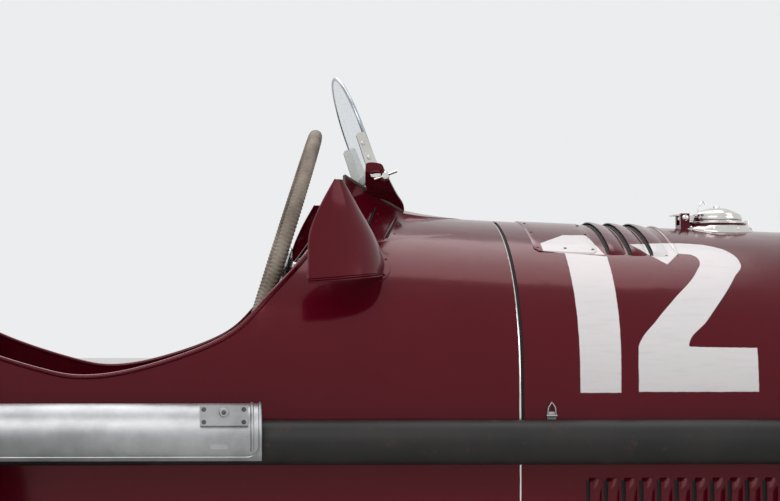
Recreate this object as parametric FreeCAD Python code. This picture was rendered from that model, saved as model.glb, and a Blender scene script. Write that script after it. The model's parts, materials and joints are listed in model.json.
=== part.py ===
import FreeCAD, Part
import math
import os

# Open wheel racing car of the thirties: a narrow single seater with wire wheels.
# Millimetres. X runs forward to the nose, Y to the left, Z up.
# The origin is on the floor, under the middle of the car's length.

# Driving dimensions: wheels and axles
FRONT_AXLE_X = 1580.0
WHEELBASE = 2650.0
FRONT_TRACK = 1400.0
REAR_TRACK = 1350.0
FRONT_TYRE_RADIUS = 370.0
FRONT_TYRE_WIDTH = 140.0
REAR_TYRE_RADIUS = 395.0
REAR_TYRE_WIDTH = 165.0
BEAD_RADIUS = 241.0
FRONT_RIM_WIDTH = 106.0
REAR_RIM_WIDTH = 122.0
RIM_FLANGE = 9.0
RIM_WALL = 7.0
HUB_RADIUS = 46.0
HUB_OUT = 84.0
HUB_IN = 34.0
SPINDLE_RADIUS = 22.0
SPINDLE_GAP = 0.5
SPOKES = 32
SPOKE_RADIUS = 3.0
DRUM_RADIUS = 195.0
DRUM_WALL = 10.0
DRUM_WIDTH = 50.0
BACKPLATE = 4.0
BACKPLATE_GAP = 2.0
SPINDLE_REACH = 55.0
HUB_BORE_END = 60.0
HUB_FLANGE = 66.0
SPOKE_LEAN = 24.0
SPOKE_SETBACK = 18.0
SPOKE_TIP_Y = 12.0
EAR_HALF = 11.0
TYRE_LIP_INSET = 5.0
TREAD_SHARE = 0.62
TREAD_DROP = 9.0

# Driving dimensions: front axle and steering
KINGPIN_Y = 575.0
KINGPIN_RADIUS = 11.0
PIN_GAP = 0.4
BEAM_RADIUS = 25.0
BOSS_RADIUS = 25.0
FORK_GAP = 2.0
FORK_THICK = 18.0
ARM_LENGTH = 150.0
ARM_THICK = 14.0
ARM_WIDTH = 30.0
ROD_DROP = 70.0
ROD_RADIUS = 12.0
ROD_PIN_RADIUS = 8.0
ROD_EYE_RADIUS = 18.0
ROD_EYE_HALF = 9.0
BOX_Y = 100.0
BOX_SETBACK = 60.0
PITMAN_BOSS = 22.0
PITMAN_SHAFT = 14.0
COLUMN_TILT = 17.5
COLUMN_START = 32.0
COLUMN_END = 380.0
COLUMN_BORE_END = 100.0
STEER_BOSS_RADIUS = 30.0
STEER_SHAFT_END = 96.0
STEER_ARM_RADIUS = 5.0
STEER_CENTRE = (-277.0, 0.0, 794.0)
STEER_RADIUS = 208.0
STEER_RIM = 11.5

# Driving dimensions: frame
RAIL_Y = 222.0
RAIL_WIDTH = 40.0
RAIL_WALL = 5.0
SPRING_WIDTH = 40.0
LEAF = 7.0
LEAVES = 4
LEAF_STEP = 0.2
FRONT_SPRING_HALF = 315.0
REAR_SPRING_HALF = 310.0
REAR_SPRING_Y = 345.0
SPRING_CAMBER = 45.0
EYE_RADIUS = 16.0
EYE_PIN = 8.0
AXLE_TUBE = 40.0
DIFF_RADIUS = 130.0
DIFF_HALF_LENGTH = 118.0
DIFF_HALF_WIDTH = 105.0
NOSE_OF_DIFF = (85.0, 56.0, 90.0, 60.0)
DAMPER_THICK = 34.0
DAMPER_ARM = (12.0, 22.0)

# Driving dimensions: body
SKIN = 3.0
SEAM_X = 58.0
SEAM_GAP = 6.0
COWL_X = 1566.0
TAIL_X = -933.0
BONNET_Z = 560.0
SILL_Z = 325.0
STEP_X = 1044.0
STEP_Z = 520.0
LEDGE_GAP = 0.3
LEDGE = 24.0
CORE_X0 = 1600.0
CORE_X1 = 1660.0
BULKHEAD_SETBACK = 28.0
BULKHEAD_THICK = 4.0

# Driving dimensions: exhaust
PIPE_RADIUS = 31.0
PIPE_Y = -350.0
PIPE_Z = 536.0
PIPE_FRONT = 1075.0
PIPE_REAR = -1640.0
STUB_RADIUS = 19.0
STUBS = 8
STUB_FIRST = 400.0
STUB_PITCH = 88.0
GUARD_FRONT = -306.0
GUARD_REAR = -1010.0
GUARD_RADIUS = 44.0
GUARD_RISE = 10.0
GUARD_WALL = 2.0
GUARD_SKIRT = 33.0
GUARD_LAP = 8.0
CLIP_INSET = 70.0
CLIP_WIDTH = 24.0
CLIP_HALF = 6.0
PIPE_WALL = 3.0
PIPE_OPEN = 400.0
STUB_GAP = 2.0

# Driving dimensions: engine
ENGINE_X0 = 330.0
ENGINE_LENGTH = 1000.0
ENGINE_HALF = 110.0
ENGINE_Z0 = 365.0
ENGINE_HEIGHT = 405.0

# Worked out from the driving dimensions
REAR_AXLE_X = FRONT_AXLE_X - WHEELBASE
AXLE_Z = FRONT_TYRE_RADIUS
REAR_Z = REAR_TYRE_RADIUS
FRONT_Y = FRONT_TRACK / 2
REAR_Y = REAR_TRACK / 2
ROD_Z = AXLE_Z - ROD_DROP
BONNET_X0 = SEAM_X + SEAM_GAP
BONNET_X1 = COWL_X - SEAM_GAP
FAR = 4000.0

# Body stations from tail to nose: x, half width, top, shoulder height, bottom, lower roundness
STATIONS = [
    (-1950.0, 14.0, 600.0, 560.0, 520.0, 2.0),
    (-1930.0, 46.0, 632.0, 560.0, 488.0, 2.0),
    (-1860.0, 104.0, 688.0, 560.0, 436.0, 2.0),
    (-1700.0, 188.0, 766.0, 562.0, 366.0, 2.1),
    (-1500.0, 253.0, 822.0, 568.0, 312.0, 2.3),
    (-1250.0, 291.0, 862.0, 578.0, 266.0, 2.8),
    (-1000.0, 306.0, 884.0, 588.0, 226.0, 3.8),
    (-700.0, 310.0, 890.0, 596.0, 202.0, 5.0),
    (-300.0, 311.0, 880.0, 600.0, 200.0, 5.0),
    (60.0, 310.0, 860.0, 600.0, 200.0, 5.0),
    (500.0, 303.0, 843.0, 596.0, 200.0, 5.0),
    (900.0, 287.0, 826.0, 588.0, 204.0, 4.6),
    (1250.0, 260.0, 809.0, 577.0, 230.0, 4.4),
    (1566.0, 232.0, 790.0, 566.0, 424.0, 2.1),
    (1690.0, 220.0, 776.0, 562.0, 430.0, 2.0),
    (1745.0, 196.0, 748.0, 560.0, 452.0, 2.0),
]

# Cockpit rim in side view, from the scuttle peak back to the head fairing
RIM = [
    (-163.0, 915.0),
    (-196.0, 862.0),
    (-235.0, 803.0),
    (-290.0, 742.0),
    (-350.0, 683.0),
    (-450.0, 643.0),
    (-543.0, 625.0),
    (-620.0, 636.0),
    (-747.0, 680.0),
    (-840.0, 738.0),
    (-905.0, 800.0),
]
RIM_TOP = 1200.0

os.makedirs("parts", exist_ok=True)


def vec(x, y, z):
    return FreeCAD.Vector(x, y, z)


def box(x0, x1, y0, y1, z0, z1):
    return Part.makeBox(x1 - x0, y1 - y0, z1 - z0, vec(x0, y0, z0))


def cyl(radius, start, end):
    axis = vec(*end).sub(vec(*start))
    return Part.makeCylinder(radius, axis.Length, vec(*start), axis)


def fuse(shapes):
    whole = shapes[0].multiFuse(shapes[1:]) if len(shapes) > 1 else shapes[0]
    return whole.removeSplitter()


def mirror_y(shape):
    return shape.mirror(vec(0, 0, 0), vec(0, 1, 0))


def both(shape):
    return Part.makeCompound([shape, mirror_y(shape)])


def prism_y(points, y0, y1):
    wire = Part.makePolygon([vec(x, y0, z) for x, z in points + points[:1]])
    return Part.Face(wire).extrude(vec(0, y1 - y0, 0))


def save(name, shape):
    shape.exportStep("parts/" + name + ".step")


# Body surface: closed sections lofted along the car
CROWN_Y_POWER = 1.8
CROWN_Z_POWER = 2.3
QUARTER_POINTS = 6


def section(station, grow):
    x, half, top, shoulder, bottom, roundness = station
    half = half + grow
    rise = top - shoulder + grow
    fall = shoulder - bottom + grow
    right = []
    for i in range(QUARTER_POINTS):
        angle = math.pi / 2 * i / QUARTER_POINTS
        y = half * math.sin(angle) ** (2 / CROWN_Y_POWER)
        z = shoulder + rise * math.cos(angle) ** (2 / CROWN_Z_POWER)
        right.append((y, z))
    for i in range(QUARTER_POINTS + 1):
        angle = math.pi / 2 * i / QUARTER_POINTS
        y = half * math.cos(angle) ** (2 / roundness)
        z = shoulder - fall * math.sin(angle) ** (2 / roundness)
        right.append((y, z))
    left = [(-y, z) for y, z in reversed(right[1:-1])]
    curve = Part.BSplineCurve()
    curve.interpolate([vec(x, y, z) for y, z in right + left], PeriodicFlag=True)
    return Part.Wire(curve.toShape())


def body_solid(grow, first=0):
    return Part.makeLoft([section(station, grow) for station in STATIONS[first:]], True, False)


OUTER = body_solid(0.0)
INNER = body_solid(-SKIN, 2)
SHELL = OUTER.cut(INNER)


def rim_profile():
    curve = Part.BSplineCurve()
    curve.interpolate([vec(x, 0, z) for x, z in RIM])
    first, last = RIM[0], RIM[-1]
    edges = [curve.toShape()]
    corners = [last, (last[0], RIM_TOP), (first[0], RIM_TOP), first]
    for a, b in zip(corners, corners[1:]):
        edges.append(Part.makeLine(vec(a[0], 0, a[1]), vec(b[0], 0, b[1])))
    face = Part.Face(Part.Wire(edges))
    face.translate(vec(0, -FAR / 2, 0))
    return face.extrude(vec(0, FAR, 0))


COCKPIT = rim_profile()


# Frame rails: stations along the car with the height of the rail's middle and its depth
RAIL = [
    (-1400.0, 548.0, 66.0),
    (-1250.0, 552.0, 72.0),
    (-1070.0, 552.0, 80.0),
    (-930.0, 526.0, 92.0),
    (-800.0, 440.0, 104.0),
    (-680.0, 380.0, 110.0),
    (930.0, 380.0, 110.0),
    (1080.0, 426.0, 100.0),
    (1200.0, 474.0, 70.0),
    (1400.0, 482.0, 60.0),
    (1600.0, 483.0, 56.0),
    (1760.0, 474.0, 46.0),
    (1872.0, 456.0, 30.0),
]
RAIL_LEVEL_FROM = 5
RAIL_LEVEL_TO = 6
RAIL_OUT = RAIL_Y + RAIL_WIDTH
RAIL_WEB = RAIL_OUT - RAIL_WALL
CROSS_Z0 = 335.0
CROSS_Z1 = 365.0
LOW_CROSS_X = [-700.0, -480.0, 0.0, 420.0, 880.0]
CROSS_WIDTH = 46.0
FRONT_CROSS_Z0 = 458.0
FRONT_CROSS_Z1 = 500.0
BOSS_HALF = 31.0
FRONT_CROSS_X = [1380.0, 1506.0]
FRONT_CROSS_WIDTH = 50.0
REAR_CROSS = (-1390.0, -1350.0, 530.0, 566.0)
NOSE_TUBE = (12.0, 1850.0, 460.0)
EAR_THICK = 8.0
RAIL_OPEN_X = 1760.0
SPRING_SEAT = 38.0
SPRING_SEAT_WIDTH = 32.0
HANGER_X = REAR_AXLE_X - REAR_SPRING_HALF
EYE_Z = REAR_Z
FRONT_SPRING_Y = RAIL_Y + RAIL_WIDTH / 2
FRONT_SPRING_TOP = AXLE_Z + LEAVES * LEAF / 2
FRONT_EYE_Z = FRONT_SPRING_TOP + SPRING_CAMBER - LEAF / 2
REAR_SPRING_TOP = REAR_Z - AXLE_TUBE
REAR_CAMBER = AXLE_TUBE + LEAF / 2
OUTRIGGER = 14.0
OUTRIGGER_X = REAR_AXLE_X + REAR_SPRING_HALF
DAMPER_X = -850.0
DAMPER_Z = 452.0
DAMPER_RADIUS = 42.0
DAMPER_Y = 312.0
FRONT_DAMPER_RADIUS = 38.0
FRONT_DAMPER_X = 1700.0
FRONT_DAMPER_Z = 474.0
NOTCH_HALF = 66.0
NOTCH_TOP = 486.0


def rail_edge(side, margin):
    # One long edge of the rail: level in the middle, swept up to each end
    points = [vec(x, 0, z + side * (depth / 2 - margin)) for x, z, depth in RAIL]
    rear = Part.BSplineCurve()
    rear.interpolate(points[:RAIL_LEVEL_FROM + 1], InitialTangent=vec(1, 0, 0), FinalTangent=vec(1, 0, 0))
    front = Part.BSplineCurve()
    front.interpolate(points[RAIL_LEVEL_TO:], InitialTangent=vec(1, 0, 0), FinalTangent=vec(1, 0, -0.35))
    return [rear.toShape(), Part.makeLine(points[RAIL_LEVEL_FROM], points[RAIL_LEVEL_TO]), front.toShape()]


def rail_profile(margin):
    edges = rail_edge(1, margin) + rail_edge(-1, margin)
    for x, z, depth in (RAIL[0], RAIL[-1]):
        edges.append(Part.makeLine(vec(x, 0, z + depth / 2 - margin), vec(x, 0, z - depth / 2 + margin)))
    return Part.Face(Part.Wire(Part.__sortEdges__(edges)))


def frame_rails():
    web = rail_profile(0)
    web.translate(vec(0, RAIL_Y, 0))
    rail = web.extrude(vec(0, RAIL_WIDTH, 0))
    pocket = rail_profile(RAIL_WALL)
    pocket.translate(vec(0, RAIL_Y, 0))
    pocket = pocket.extrude(vec(0, RAIL_WIDTH - RAIL_WALL, 0))
    keep = box(RAIL[0][0] + RAIL_WALL, RAIL_OPEN_X, 0, FAR, 0, FAR)
    rail = rail.cut(pocket.common(keep))
    hanger = box(HANGER_X - 16, HANGER_X + 16, RAIL_Y, RAIL_OUT, EYE_Z - 18, RAIL[0][1] - RAIL[0][2] / 2 + 4)
    reach = REAR_SPRING_Y - SPRING_WIDTH / 2 - 1
    outer = REAR_SPRING_Y + SPRING_WIDTH / 2 + 6
    rods = []
    for x in (HANGER_X, OUTRIGGER_X):
        rods.append(cyl(OUTRIGGER, (x, RAIL_OUT - RAIL_WALL, EYE_Z), (x, reach, EYE_Z)))
        rods.append(cyl(EYE_PIN, (x, RAIL_OUT - RAIL_WALL, EYE_Z), (x, outer, EYE_Z)))
    rods.append(cyl(OUTRIGGER, (DAMPER_X, RAIL_OUT - RAIL_WALL, DAMPER_Z), (DAMPER_X, DAMPER_Y, DAMPER_Z)))
    for x in (FRONT_AXLE_X - FRONT_SPRING_HALF, FRONT_AXLE_X + FRONT_SPRING_HALF):
        inner = RAIL_Y - EAR_THICK
        rods.append(cyl(EYE_PIN, (x, inner, FRONT_EYE_Z), (x, RAIL_OUT + EAR_THICK, FRONT_EYE_Z)))
        for y in (inner, RAIL_OUT):
            rods.append(box(x - 15, x + 15, y, y + EAR_THICK, FRONT_EYE_Z - 14, FRONT_EYE_Z + 36))
            rods.append(box(x - 45, x + 15, y, y + EAR_THICK, FRONT_EYE_Z + 18, FRONT_EYE_Z + 40))
    left = fuse([rail, hanger] + rods)
    crosses = []
    for x in LOW_CROSS_X:
        crosses.append(box(x, x + CROSS_WIDTH, -RAIL_WEB, RAIL_WEB, CROSS_Z0, CROSS_Z1))
    for x in FRONT_CROSS_X:
        crosses.append(box(x, x + FRONT_CROSS_WIDTH, -RAIL_WEB, RAIL_WEB, FRONT_CROSS_Z0, FRONT_CROSS_Z1))
    rear_x0, rear_x1, rear_z0, rear_z1 = REAR_CROSS
    crosses.append(box(rear_x0, rear_x1, -RAIL_WEB, RAIL_WEB, rear_z0, rear_z1))
    radius, x, z = NOSE_TUBE
    crosses.append(cyl(radius, (x, -RAIL_Y - 2, z), (x, RAIL_Y + 2, z)))
    return fuse([left, mirror_y(left)] + crosses)


def ring_sector(centre_z, radius, thick, half, x, y):
    # Part of a flat ring seen from the side: one leaf of a spring
    angle = math.asin(half / radius)
    points = []
    for r in (radius, radius + thick):
        for a in (-angle, 0.0, angle):
            points.append(vec(x + r * math.sin(a), y, centre_z - r * math.cos(a)))
    edges = [
        Part.Arc(points[0], points[1], points[2]).toShape(),
        Part.makeLine(points[2], points[5]),
        Part.Arc(points[5], points[4], points[3]).toShape(),
        Part.makeLine(points[3], points[0]),
    ]
    return Part.Face(Part.Wire(edges)).extrude(vec(0, SPRING_WIDTH, 0))


def leaf_spring(x, y, top, half, camber):
    radius = (half ** 2 + camber ** 2) / (2 * camber)
    centre_z = top + radius
    y0 = y - SPRING_WIDTH / 2
    leaves = []
    for i in range(LEAVES):
        reach = half * (1 - LEAF_STEP * i)
        leaves.append(ring_sector(centre_z, radius + i * LEAF, LEAF, reach, x, y0))
    eye_z = top + camber - LEAF / 2
    eyes = [((x + side * half, y0, eye_z), (x + side * half, y0 + SPRING_WIDTH, eye_z)) for side in (-1, 1)]
    pack = fuse(leaves + [cyl(EYE_RADIUS, *eye) for eye in eyes])
    for eye in eyes:
        pack = pack.cut(cyl(EYE_PIN, *eye))
    return pack


def front_springs():
    return both(leaf_spring(FRONT_AXLE_X, FRONT_SPRING_Y, FRONT_SPRING_TOP, FRONT_SPRING_HALF, SPRING_CAMBER))


def rear_springs():
    return both(leaf_spring(REAR_AXLE_X, REAR_SPRING_Y, REAR_SPRING_TOP, REAR_SPRING_HALF, REAR_CAMBER))


def front_axle():
    beam = cyl(BEAM_RADIUS, (FRONT_AXLE_X, -KINGPIN_Y, AXLE_Z), (FRONT_AXLE_X, KINGPIN_Y, AXLE_Z))
    pieces = [beam]
    cuts = []
    for side in (-1, 1):
        y = side * KINGPIN_Y
        ends = [(FRONT_AXLE_X, y, AXLE_Z - BOSS_HALF), (FRONT_AXLE_X, y, AXLE_Z + BOSS_HALF)]
        pieces.append(cyl(BOSS_RADIUS, *ends))
        y = side * FRONT_SPRING_Y
        wide = SPRING_SEAT_WIDTH
        pieces.append(box(FRONT_AXLE_X - SPRING_SEAT, FRONT_AXLE_X + SPRING_SEAT, y - wide, y + wide,
                          AXLE_Z - wide, AXLE_Z + wide))
        y = side * KINGPIN_Y
        bore = KINGPIN_RADIUS + PIN_GAP
        cuts.append(cyl(bore, (FRONT_AXLE_X, y, 0), (FRONT_AXLE_X, y, 2 * AXLE_Z)))
    axle = fuse(pieces)
    for cut in cuts:
        axle = axle.cut(cut)
    return axle.cut(front_springs())


def knuckle():
    x = FRONT_AXLE_X
    low = AXLE_Z - BOSS_HALF - FORK_GAP - FORK_THICK
    high = AXLE_Z + BOSS_HALF + FORK_GAP
    web_y = KINGPIN_Y + BOSS_RADIUS + FORK_GAP
    plate_y = FRONT_Y - HUB_IN - DRUM_WIDTH - BACKPLATE_GAP - BACKPLATE
    pieces = []
    for z in (low, high):
        pieces.append(cyl(BOSS_RADIUS, (x, KINGPIN_Y, z), (x, KINGPIN_Y, z + FORK_THICK)))
        pieces.append(box(x - BOSS_RADIUS, x + BOSS_RADIUS, KINGPIN_Y, plate_y, z, z + FORK_THICK))
    pieces.append(box(x - BOSS_RADIUS, x + BOSS_RADIUS, web_y, plate_y, low, high + FORK_THICK))
    pieces.append(cyl(KINGPIN_RADIUS, (x, KINGPIN_Y, low), (x, KINGPIN_Y, high + FORK_THICK)))
    pieces.append(cyl(DRUM_RADIUS - BACKPLATE_GAP, (x, plate_y, AXLE_Z), (x, plate_y + BACKPLATE, AXLE_Z)))
    pieces.append(cyl(SPINDLE_RADIUS, (x, web_y, AXLE_Z), (x, FRONT_Y + SPINDLE_REACH, AXLE_Z)))
    pin_x = x - ARM_LENGTH
    pieces.append(box(pin_x, x, KINGPIN_Y - ARM_WIDTH / 2, KINGPIN_Y + ARM_WIDTH / 2, low, low + ARM_THICK))
    pieces.append(cyl(ARM_WIDTH / 2, (pin_x, KINGPIN_Y, low), (pin_x, KINGPIN_Y, low + ARM_THICK)))
    pieces.append(cyl(ROD_PIN_RADIUS, (pin_x, KINGPIN_Y, ROD_Z - 12), (pin_x, KINGPIN_Y, low + 2)))
    return fuse(pieces)


def rod_eye(x, y):
    return cyl(ROD_EYE_RADIUS, (x, y, ROD_Z - ROD_EYE_HALF), (x, y, ROD_Z + ROD_EYE_HALF))


def track_rod():
    x = FRONT_AXLE_X - ARM_LENGTH
    lug_x = x - BOX_SETBACK
    pieces = [cyl(ROD_RADIUS, (x, -KINGPIN_Y, ROD_Z), (x, KINGPIN_Y, ROD_Z))]
    pins = [(x, -KINGPIN_Y), (x, KINGPIN_Y), (lug_x, BOX_Y)]
    pieces += [rod_eye(*pin) for pin in pins]
    pieces.append(box(lug_x, x, BOX_Y - 9, BOX_Y + 9, ROD_Z - 8, ROD_Z + 8))
    whole = fuse(pieces)
    for px, py in pins:
        whole = whole.cut(cyl(ROD_PIN_RADIUS + PIN_GAP, (px, py, ROD_Z - 20), (px, py, ROD_Z + 20)))
    return whole


PITMAN_X = FRONT_AXLE_X - BOX_SETBACK
PITMAN_Z = ROD_Z + 22
STEER_BOX_Z = 384.0


def pitman_arm():
    tip = PITMAN_X - ARM_LENGTH
    pieces = [
        box(tip, PITMAN_X, BOX_Y - ARM_WIDTH / 2, BOX_Y + ARM_WIDTH / 2, PITMAN_Z, PITMAN_Z + ARM_THICK),
        cyl(ARM_WIDTH / 2, (tip, BOX_Y, PITMAN_Z), (tip, BOX_Y, PITMAN_Z + ARM_THICK)),
        cyl(PITMAN_BOSS, (PITMAN_X, BOX_Y, PITMAN_Z), (PITMAN_X, BOX_Y, PITMAN_Z + ARM_THICK)),
        cyl(PITMAN_SHAFT, (PITMAN_X, BOX_Y, PITMAN_Z), (PITMAN_X, BOX_Y, STEER_BOX_Z + 40)),
        cyl(ROD_PIN_RADIUS, (tip, BOX_Y, ROD_Z - 12), (tip, BOX_Y, PITMAN_Z + 2)),
    ]
    return fuse(pieces)


def steering_box():
    body = box(PITMAN_X - 55, PITMAN_X + 30, BOX_Y - 45, BOX_Y + 45, STEER_BOX_Z, FRONT_CROSS_Z0)
    bore = cyl(PITMAN_SHAFT + PIN_GAP, (PITMAN_X, BOX_Y, STEER_BOX_Z), (PITMAN_X, BOX_Y, STEER_BOX_Z + 41))
    return body.cut(bore)


def rear_axle():
    end = REAR_Y - HUB_IN - DRUM_WIDTH - BACKPLATE_GAP
    x = REAR_AXLE_X
    pieces = [cyl(AXLE_TUBE, (x, -end, REAR_Z), (x, end, REAR_Z))]
    length, width = DIFF_HALF_LENGTH, DIFF_HALF_WIDTH
    ball = Part.makeSphere(DIFF_RADIUS, vec(x, 0, REAR_Z))
    pieces.append(ball.common(box(x - length, x + length, -width, width, 0, FAR)))
    wide, narrow, reach, ahead = NOSE_OF_DIFF
    pieces.append(Part.makeCone(wide, narrow, reach, vec(x + ahead, 0, REAR_Z), vec(1, 0, 0)))
    for side in (-1, 1):
        inner = (x, side * (end - BACKPLATE), REAR_Z)
        pieces.append(cyl(DRUM_RADIUS - BACKPLATE_GAP, inner, (x, side * end, REAR_Z)))
        tip = (x, side * (REAR_Y + SPINDLE_REACH), REAR_Z)
        pieces.append(cyl(SPINDLE_RADIUS, (x, side * (end - 20), REAR_Z), tip))
        y = side * REAR_SPRING_Y
        half = SPRING_WIDTH / 2 + 4
        pieces.append(box(x - 45, x + 45, y - half, y + half, REAR_SPRING_TOP + 1, REAR_SPRING_TOP + 26))
    return fuse(pieces).cut(rear_springs())


def rear_damper():
    y0 = DAMPER_Y
    disc = cyl(DAMPER_RADIUS, (DAMPER_X, y0, DAMPER_Z), (DAMPER_X, y0 + DAMPER_THICK, DAMPER_Z))
    end_x = REAR_AXLE_X + 14
    end_z = REAR_Z + AXLE_TUBE + 4
    outline = [(DAMPER_X, DAMPER_Z + 15), (DAMPER_X, DAMPER_Z - 15), (end_x, end_z - 12), (end_x, end_z + 12)]
    arm = prism_y(outline, y0 + DAMPER_ARM[0], y0 + DAMPER_ARM[1])
    eye = cyl(15.0, (end_x, y0 + 6, end_z), (end_x, y0 + 28, end_z))
    whole = fuse([disc, arm, eye])
    return whole.cut(cyl(AXLE_TUBE, (REAR_AXLE_X, 0, REAR_Z), (REAR_AXLE_X, FAR, REAR_Z)))


def front_damper():
    y0 = RAIL_OUT
    z = FRONT_DAMPER_Z
    disc = cyl(FRONT_DAMPER_RADIUS, (FRONT_DAMPER_X, y0, z), (FRONT_DAMPER_X, y0 + DAMPER_THICK, z))
    end_x = FRONT_AXLE_X + 16
    end_z = AXLE_Z + BEAM_RADIUS + 14
    outline = [(FRONT_DAMPER_X - 8, z + 12), (FRONT_DAMPER_X + 8, z - 12), (end_x + 6, end_z - 10),
               (end_x - 6, end_z + 10)]
    arm = prism_y(outline, y0 + 13, y0 + 22)
    eye = cyl(13.0, (end_x, y0 + 13, end_z), (end_x, y0 + 27, end_z))
    foot = box(end_x - 14, end_x + 14, y0 + 13, y0 + 27, AXLE_Z + 4, end_z)
    whole = fuse([disc, arm, eye, foot])
    return whole.cut(cyl(BEAM_RADIUS, (FRONT_AXLE_X, 0, AXLE_Z), (FRONT_AXLE_X, FAR, AXLE_Z)))


# Wheels: made about their own middle with the outside towards plus Y, then put in place
def revolve_y(points):
    wire = Part.makePolygon([vec(r, y, 0) for y, r in points + points[:1]])
    return Part.Face(wire).revolve(vec(0, 0, 0), vec(0, 1, 0), 360)


def rim(width):
    half = width / 2
    seat = BEAD_RADIUS
    flange = seat + RIM_FLANGE
    well = seat - 15
    outside = [(-half, flange), (-half + 5, flange), (-half + 5, seat), (-half + 20, seat)]
    outside.append((-half + 28, well))
    inside = [(-half + 26, well - RIM_WALL), (-half + 18, seat - RIM_WALL), (-half, seat - RIM_WALL)]
    points = outside + [(-y, r) for y, r in reversed(outside)]
    points += [(-y, r) for y, r in reversed(inside)] + inside
    return revolve_y(points)


def hub():
    barrel = [
        (-HUB_IN, 0), (-HUB_IN, HUB_FLANGE), (-HUB_IN + 8, HUB_FLANGE), (-HUB_IN + 14, HUB_RADIUS),
        (54, HUB_RADIUS - 4), (56, 56), (63, 56), (66, 42), (HUB_OUT, 40), (HUB_OUT, 46),
        (HUB_OUT + 10, 44), (HUB_OUT + 26, 26), (HUB_OUT + 30, 0),
    ]
    body = revolve_y(barrel)
    ears = []
    for side in (-1, 1):
        points = [(side * 30, HUB_OUT + 2), (side * 96, HUB_OUT + 8), (side * 96, HUB_OUT + 18)]
        points.append((side * 24, HUB_OUT + 24))
        wire = Part.makePolygon([vec(x, y, -EAR_HALF) for x, y in points + points[:1]])
        ears.append(Part.Face(wire).extrude(vec(0, 0, 2 * EAR_HALF)))
    body = fuse([body] + ears)
    return body.cut(cyl(SPINDLE_RADIUS + SPINDLE_GAP, (0, -HUB_IN, 0), (0, HUB_BORE_END, 0)))


# Radius and depth of a spoke's foot in the hub, and the depth of its tip in the rim
SPOKE_FOOT_OUTER = (50.0, 59.5, SPOKE_TIP_Y)
SPOKE_FOOT_INNER = (58.0, -HUB_IN + 5, -SPOKE_TIP_Y)


def spokes():
    rods = []
    for i in range(SPOKES):
        outer = i % 2
        lean = SPOKE_LEAN if (i // 2) % 2 else -SPOKE_LEAN
        angle = math.radians(360.0 * i / SPOKES)
        tip = math.radians(360.0 * i / SPOKES + lean)
        foot_r, foot_y, tip_y = SPOKE_FOOT_OUTER if outer else SPOKE_FOOT_INNER
        foot = (foot_r * math.cos(angle), foot_y, foot_r * math.sin(angle))
        rim_r = BEAD_RADIUS - SPOKE_SETBACK
        rods.append(cyl(SPOKE_RADIUS, foot, (rim_r * math.cos(tip), tip_y, rim_r * math.sin(tip))))
    return rods


def wire_wheel(width):
    return fuse([hub(), rim(width)] + spokes())


def tyre(radius, width, rim_width):
    half = rim_width / 2 - TYRE_LIP_INSET
    bulge = width / 2
    rise = radius - BEAD_RADIUS
    tread = bulge * TREAD_SHARE
    middle = BEAD_RADIUS + rise * 0.48

    def p(y, r):
        return vec(r, y, 0)

    lip = BEAD_RADIUS + RIM_FLANGE
    shoulder = radius - TREAD_DROP
    edges = [Part.makeLine(p(-half, BEAD_RADIUS), p(half, BEAD_RADIUS))]
    for s in (1, -1):
        edges.append(Part.makeLine(p(s * half, BEAD_RADIUS), p(s * half, lip)))
        edges.append(Part.Arc(p(s * half, lip), p(s * bulge * 0.94, BEAD_RADIUS + rise * 0.25),
                              p(s * bulge, middle)).toShape())
        edges.append(Part.Arc(p(s * bulge, middle), p(s * bulge * 0.9, BEAD_RADIUS + rise * 0.8),
                              p(s * tread, shoulder)).toShape())
    edges.append(Part.Arc(p(tread, shoulder), p(0, radius), p(-tread, shoulder)).toShape())
    wire = Part.Wire(Part.__sortEdges__(edges))
    return Part.Face(wire).revolve(vec(0, 0, 0), vec(0, 1, 0), 360)


def brake_drum():
    points = [
        (-HUB_IN - DRUM_WIDTH, DRUM_RADIUS - DRUM_WALL), (-HUB_IN - DRUM_WIDTH, DRUM_RADIUS),
        (-HUB_IN - 6, DRUM_RADIUS), (-HUB_IN, DRUM_RADIUS - 8), (-HUB_IN, SPINDLE_RADIUS + SPINDLE_GAP),
        (-HUB_IN - 8, SPINDLE_RADIUS + SPINDLE_GAP), (-HUB_IN - 8, DRUM_RADIUS - DRUM_WALL),
    ]
    return revolve_y(points)


def place(shape, x, y, z):
    moved = shape.copy()
    if y < 0:
        moved = mirror_y(moved)
    moved.translate(vec(x, y, z))
    return moved


# Panels and fittings
HOOD_REAR = (-170.0, 918.6, 116.0)
HOOD_FRONT = (-70.0, 863.0, 70.0)
HOOD_FOOT_Y = 176.0
HOOD_FOOT_Z = 800.0


def hood_solid(grow):
    wires = []
    for x, top, flat in (HOOD_REAR, HOOD_FRONT):
        half = [(HOOD_FOOT_Y + grow, HOOD_FOOT_Z), (flat + grow, top + grow)]
        pts = half + [(-y, z) for y, z in reversed(half)]
        wires.append(Part.makePolygon([vec(x, y, z) for y, z in pts + pts[:1]]))
    return Part.makeLoft(wires, True, True)


def skin_part(x0, x1, y0, y1, z0, z1):
    return SHELL.common(box(x0, x1, y0, y1, z0, z1))


def cockpit_tub():
    tub = skin_part(TAIL_X, SEAM_X, -FAR, FAR, SILL_Z, FAR).cut(COCKPIT)
    holes = [cyl(OUTRIGGER, (OUTRIGGER_X, -FAR, EYE_Z), (OUTRIGGER_X, FAR, EYE_Z))]
    holes.append(cyl(OUTRIGGER, (DAMPER_X, -FAR, DAMPER_Z), (DAMPER_X, FAR, DAMPER_Z)))
    for hole in holes:
        tub = tub.cut(hole)
    return tub


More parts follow.
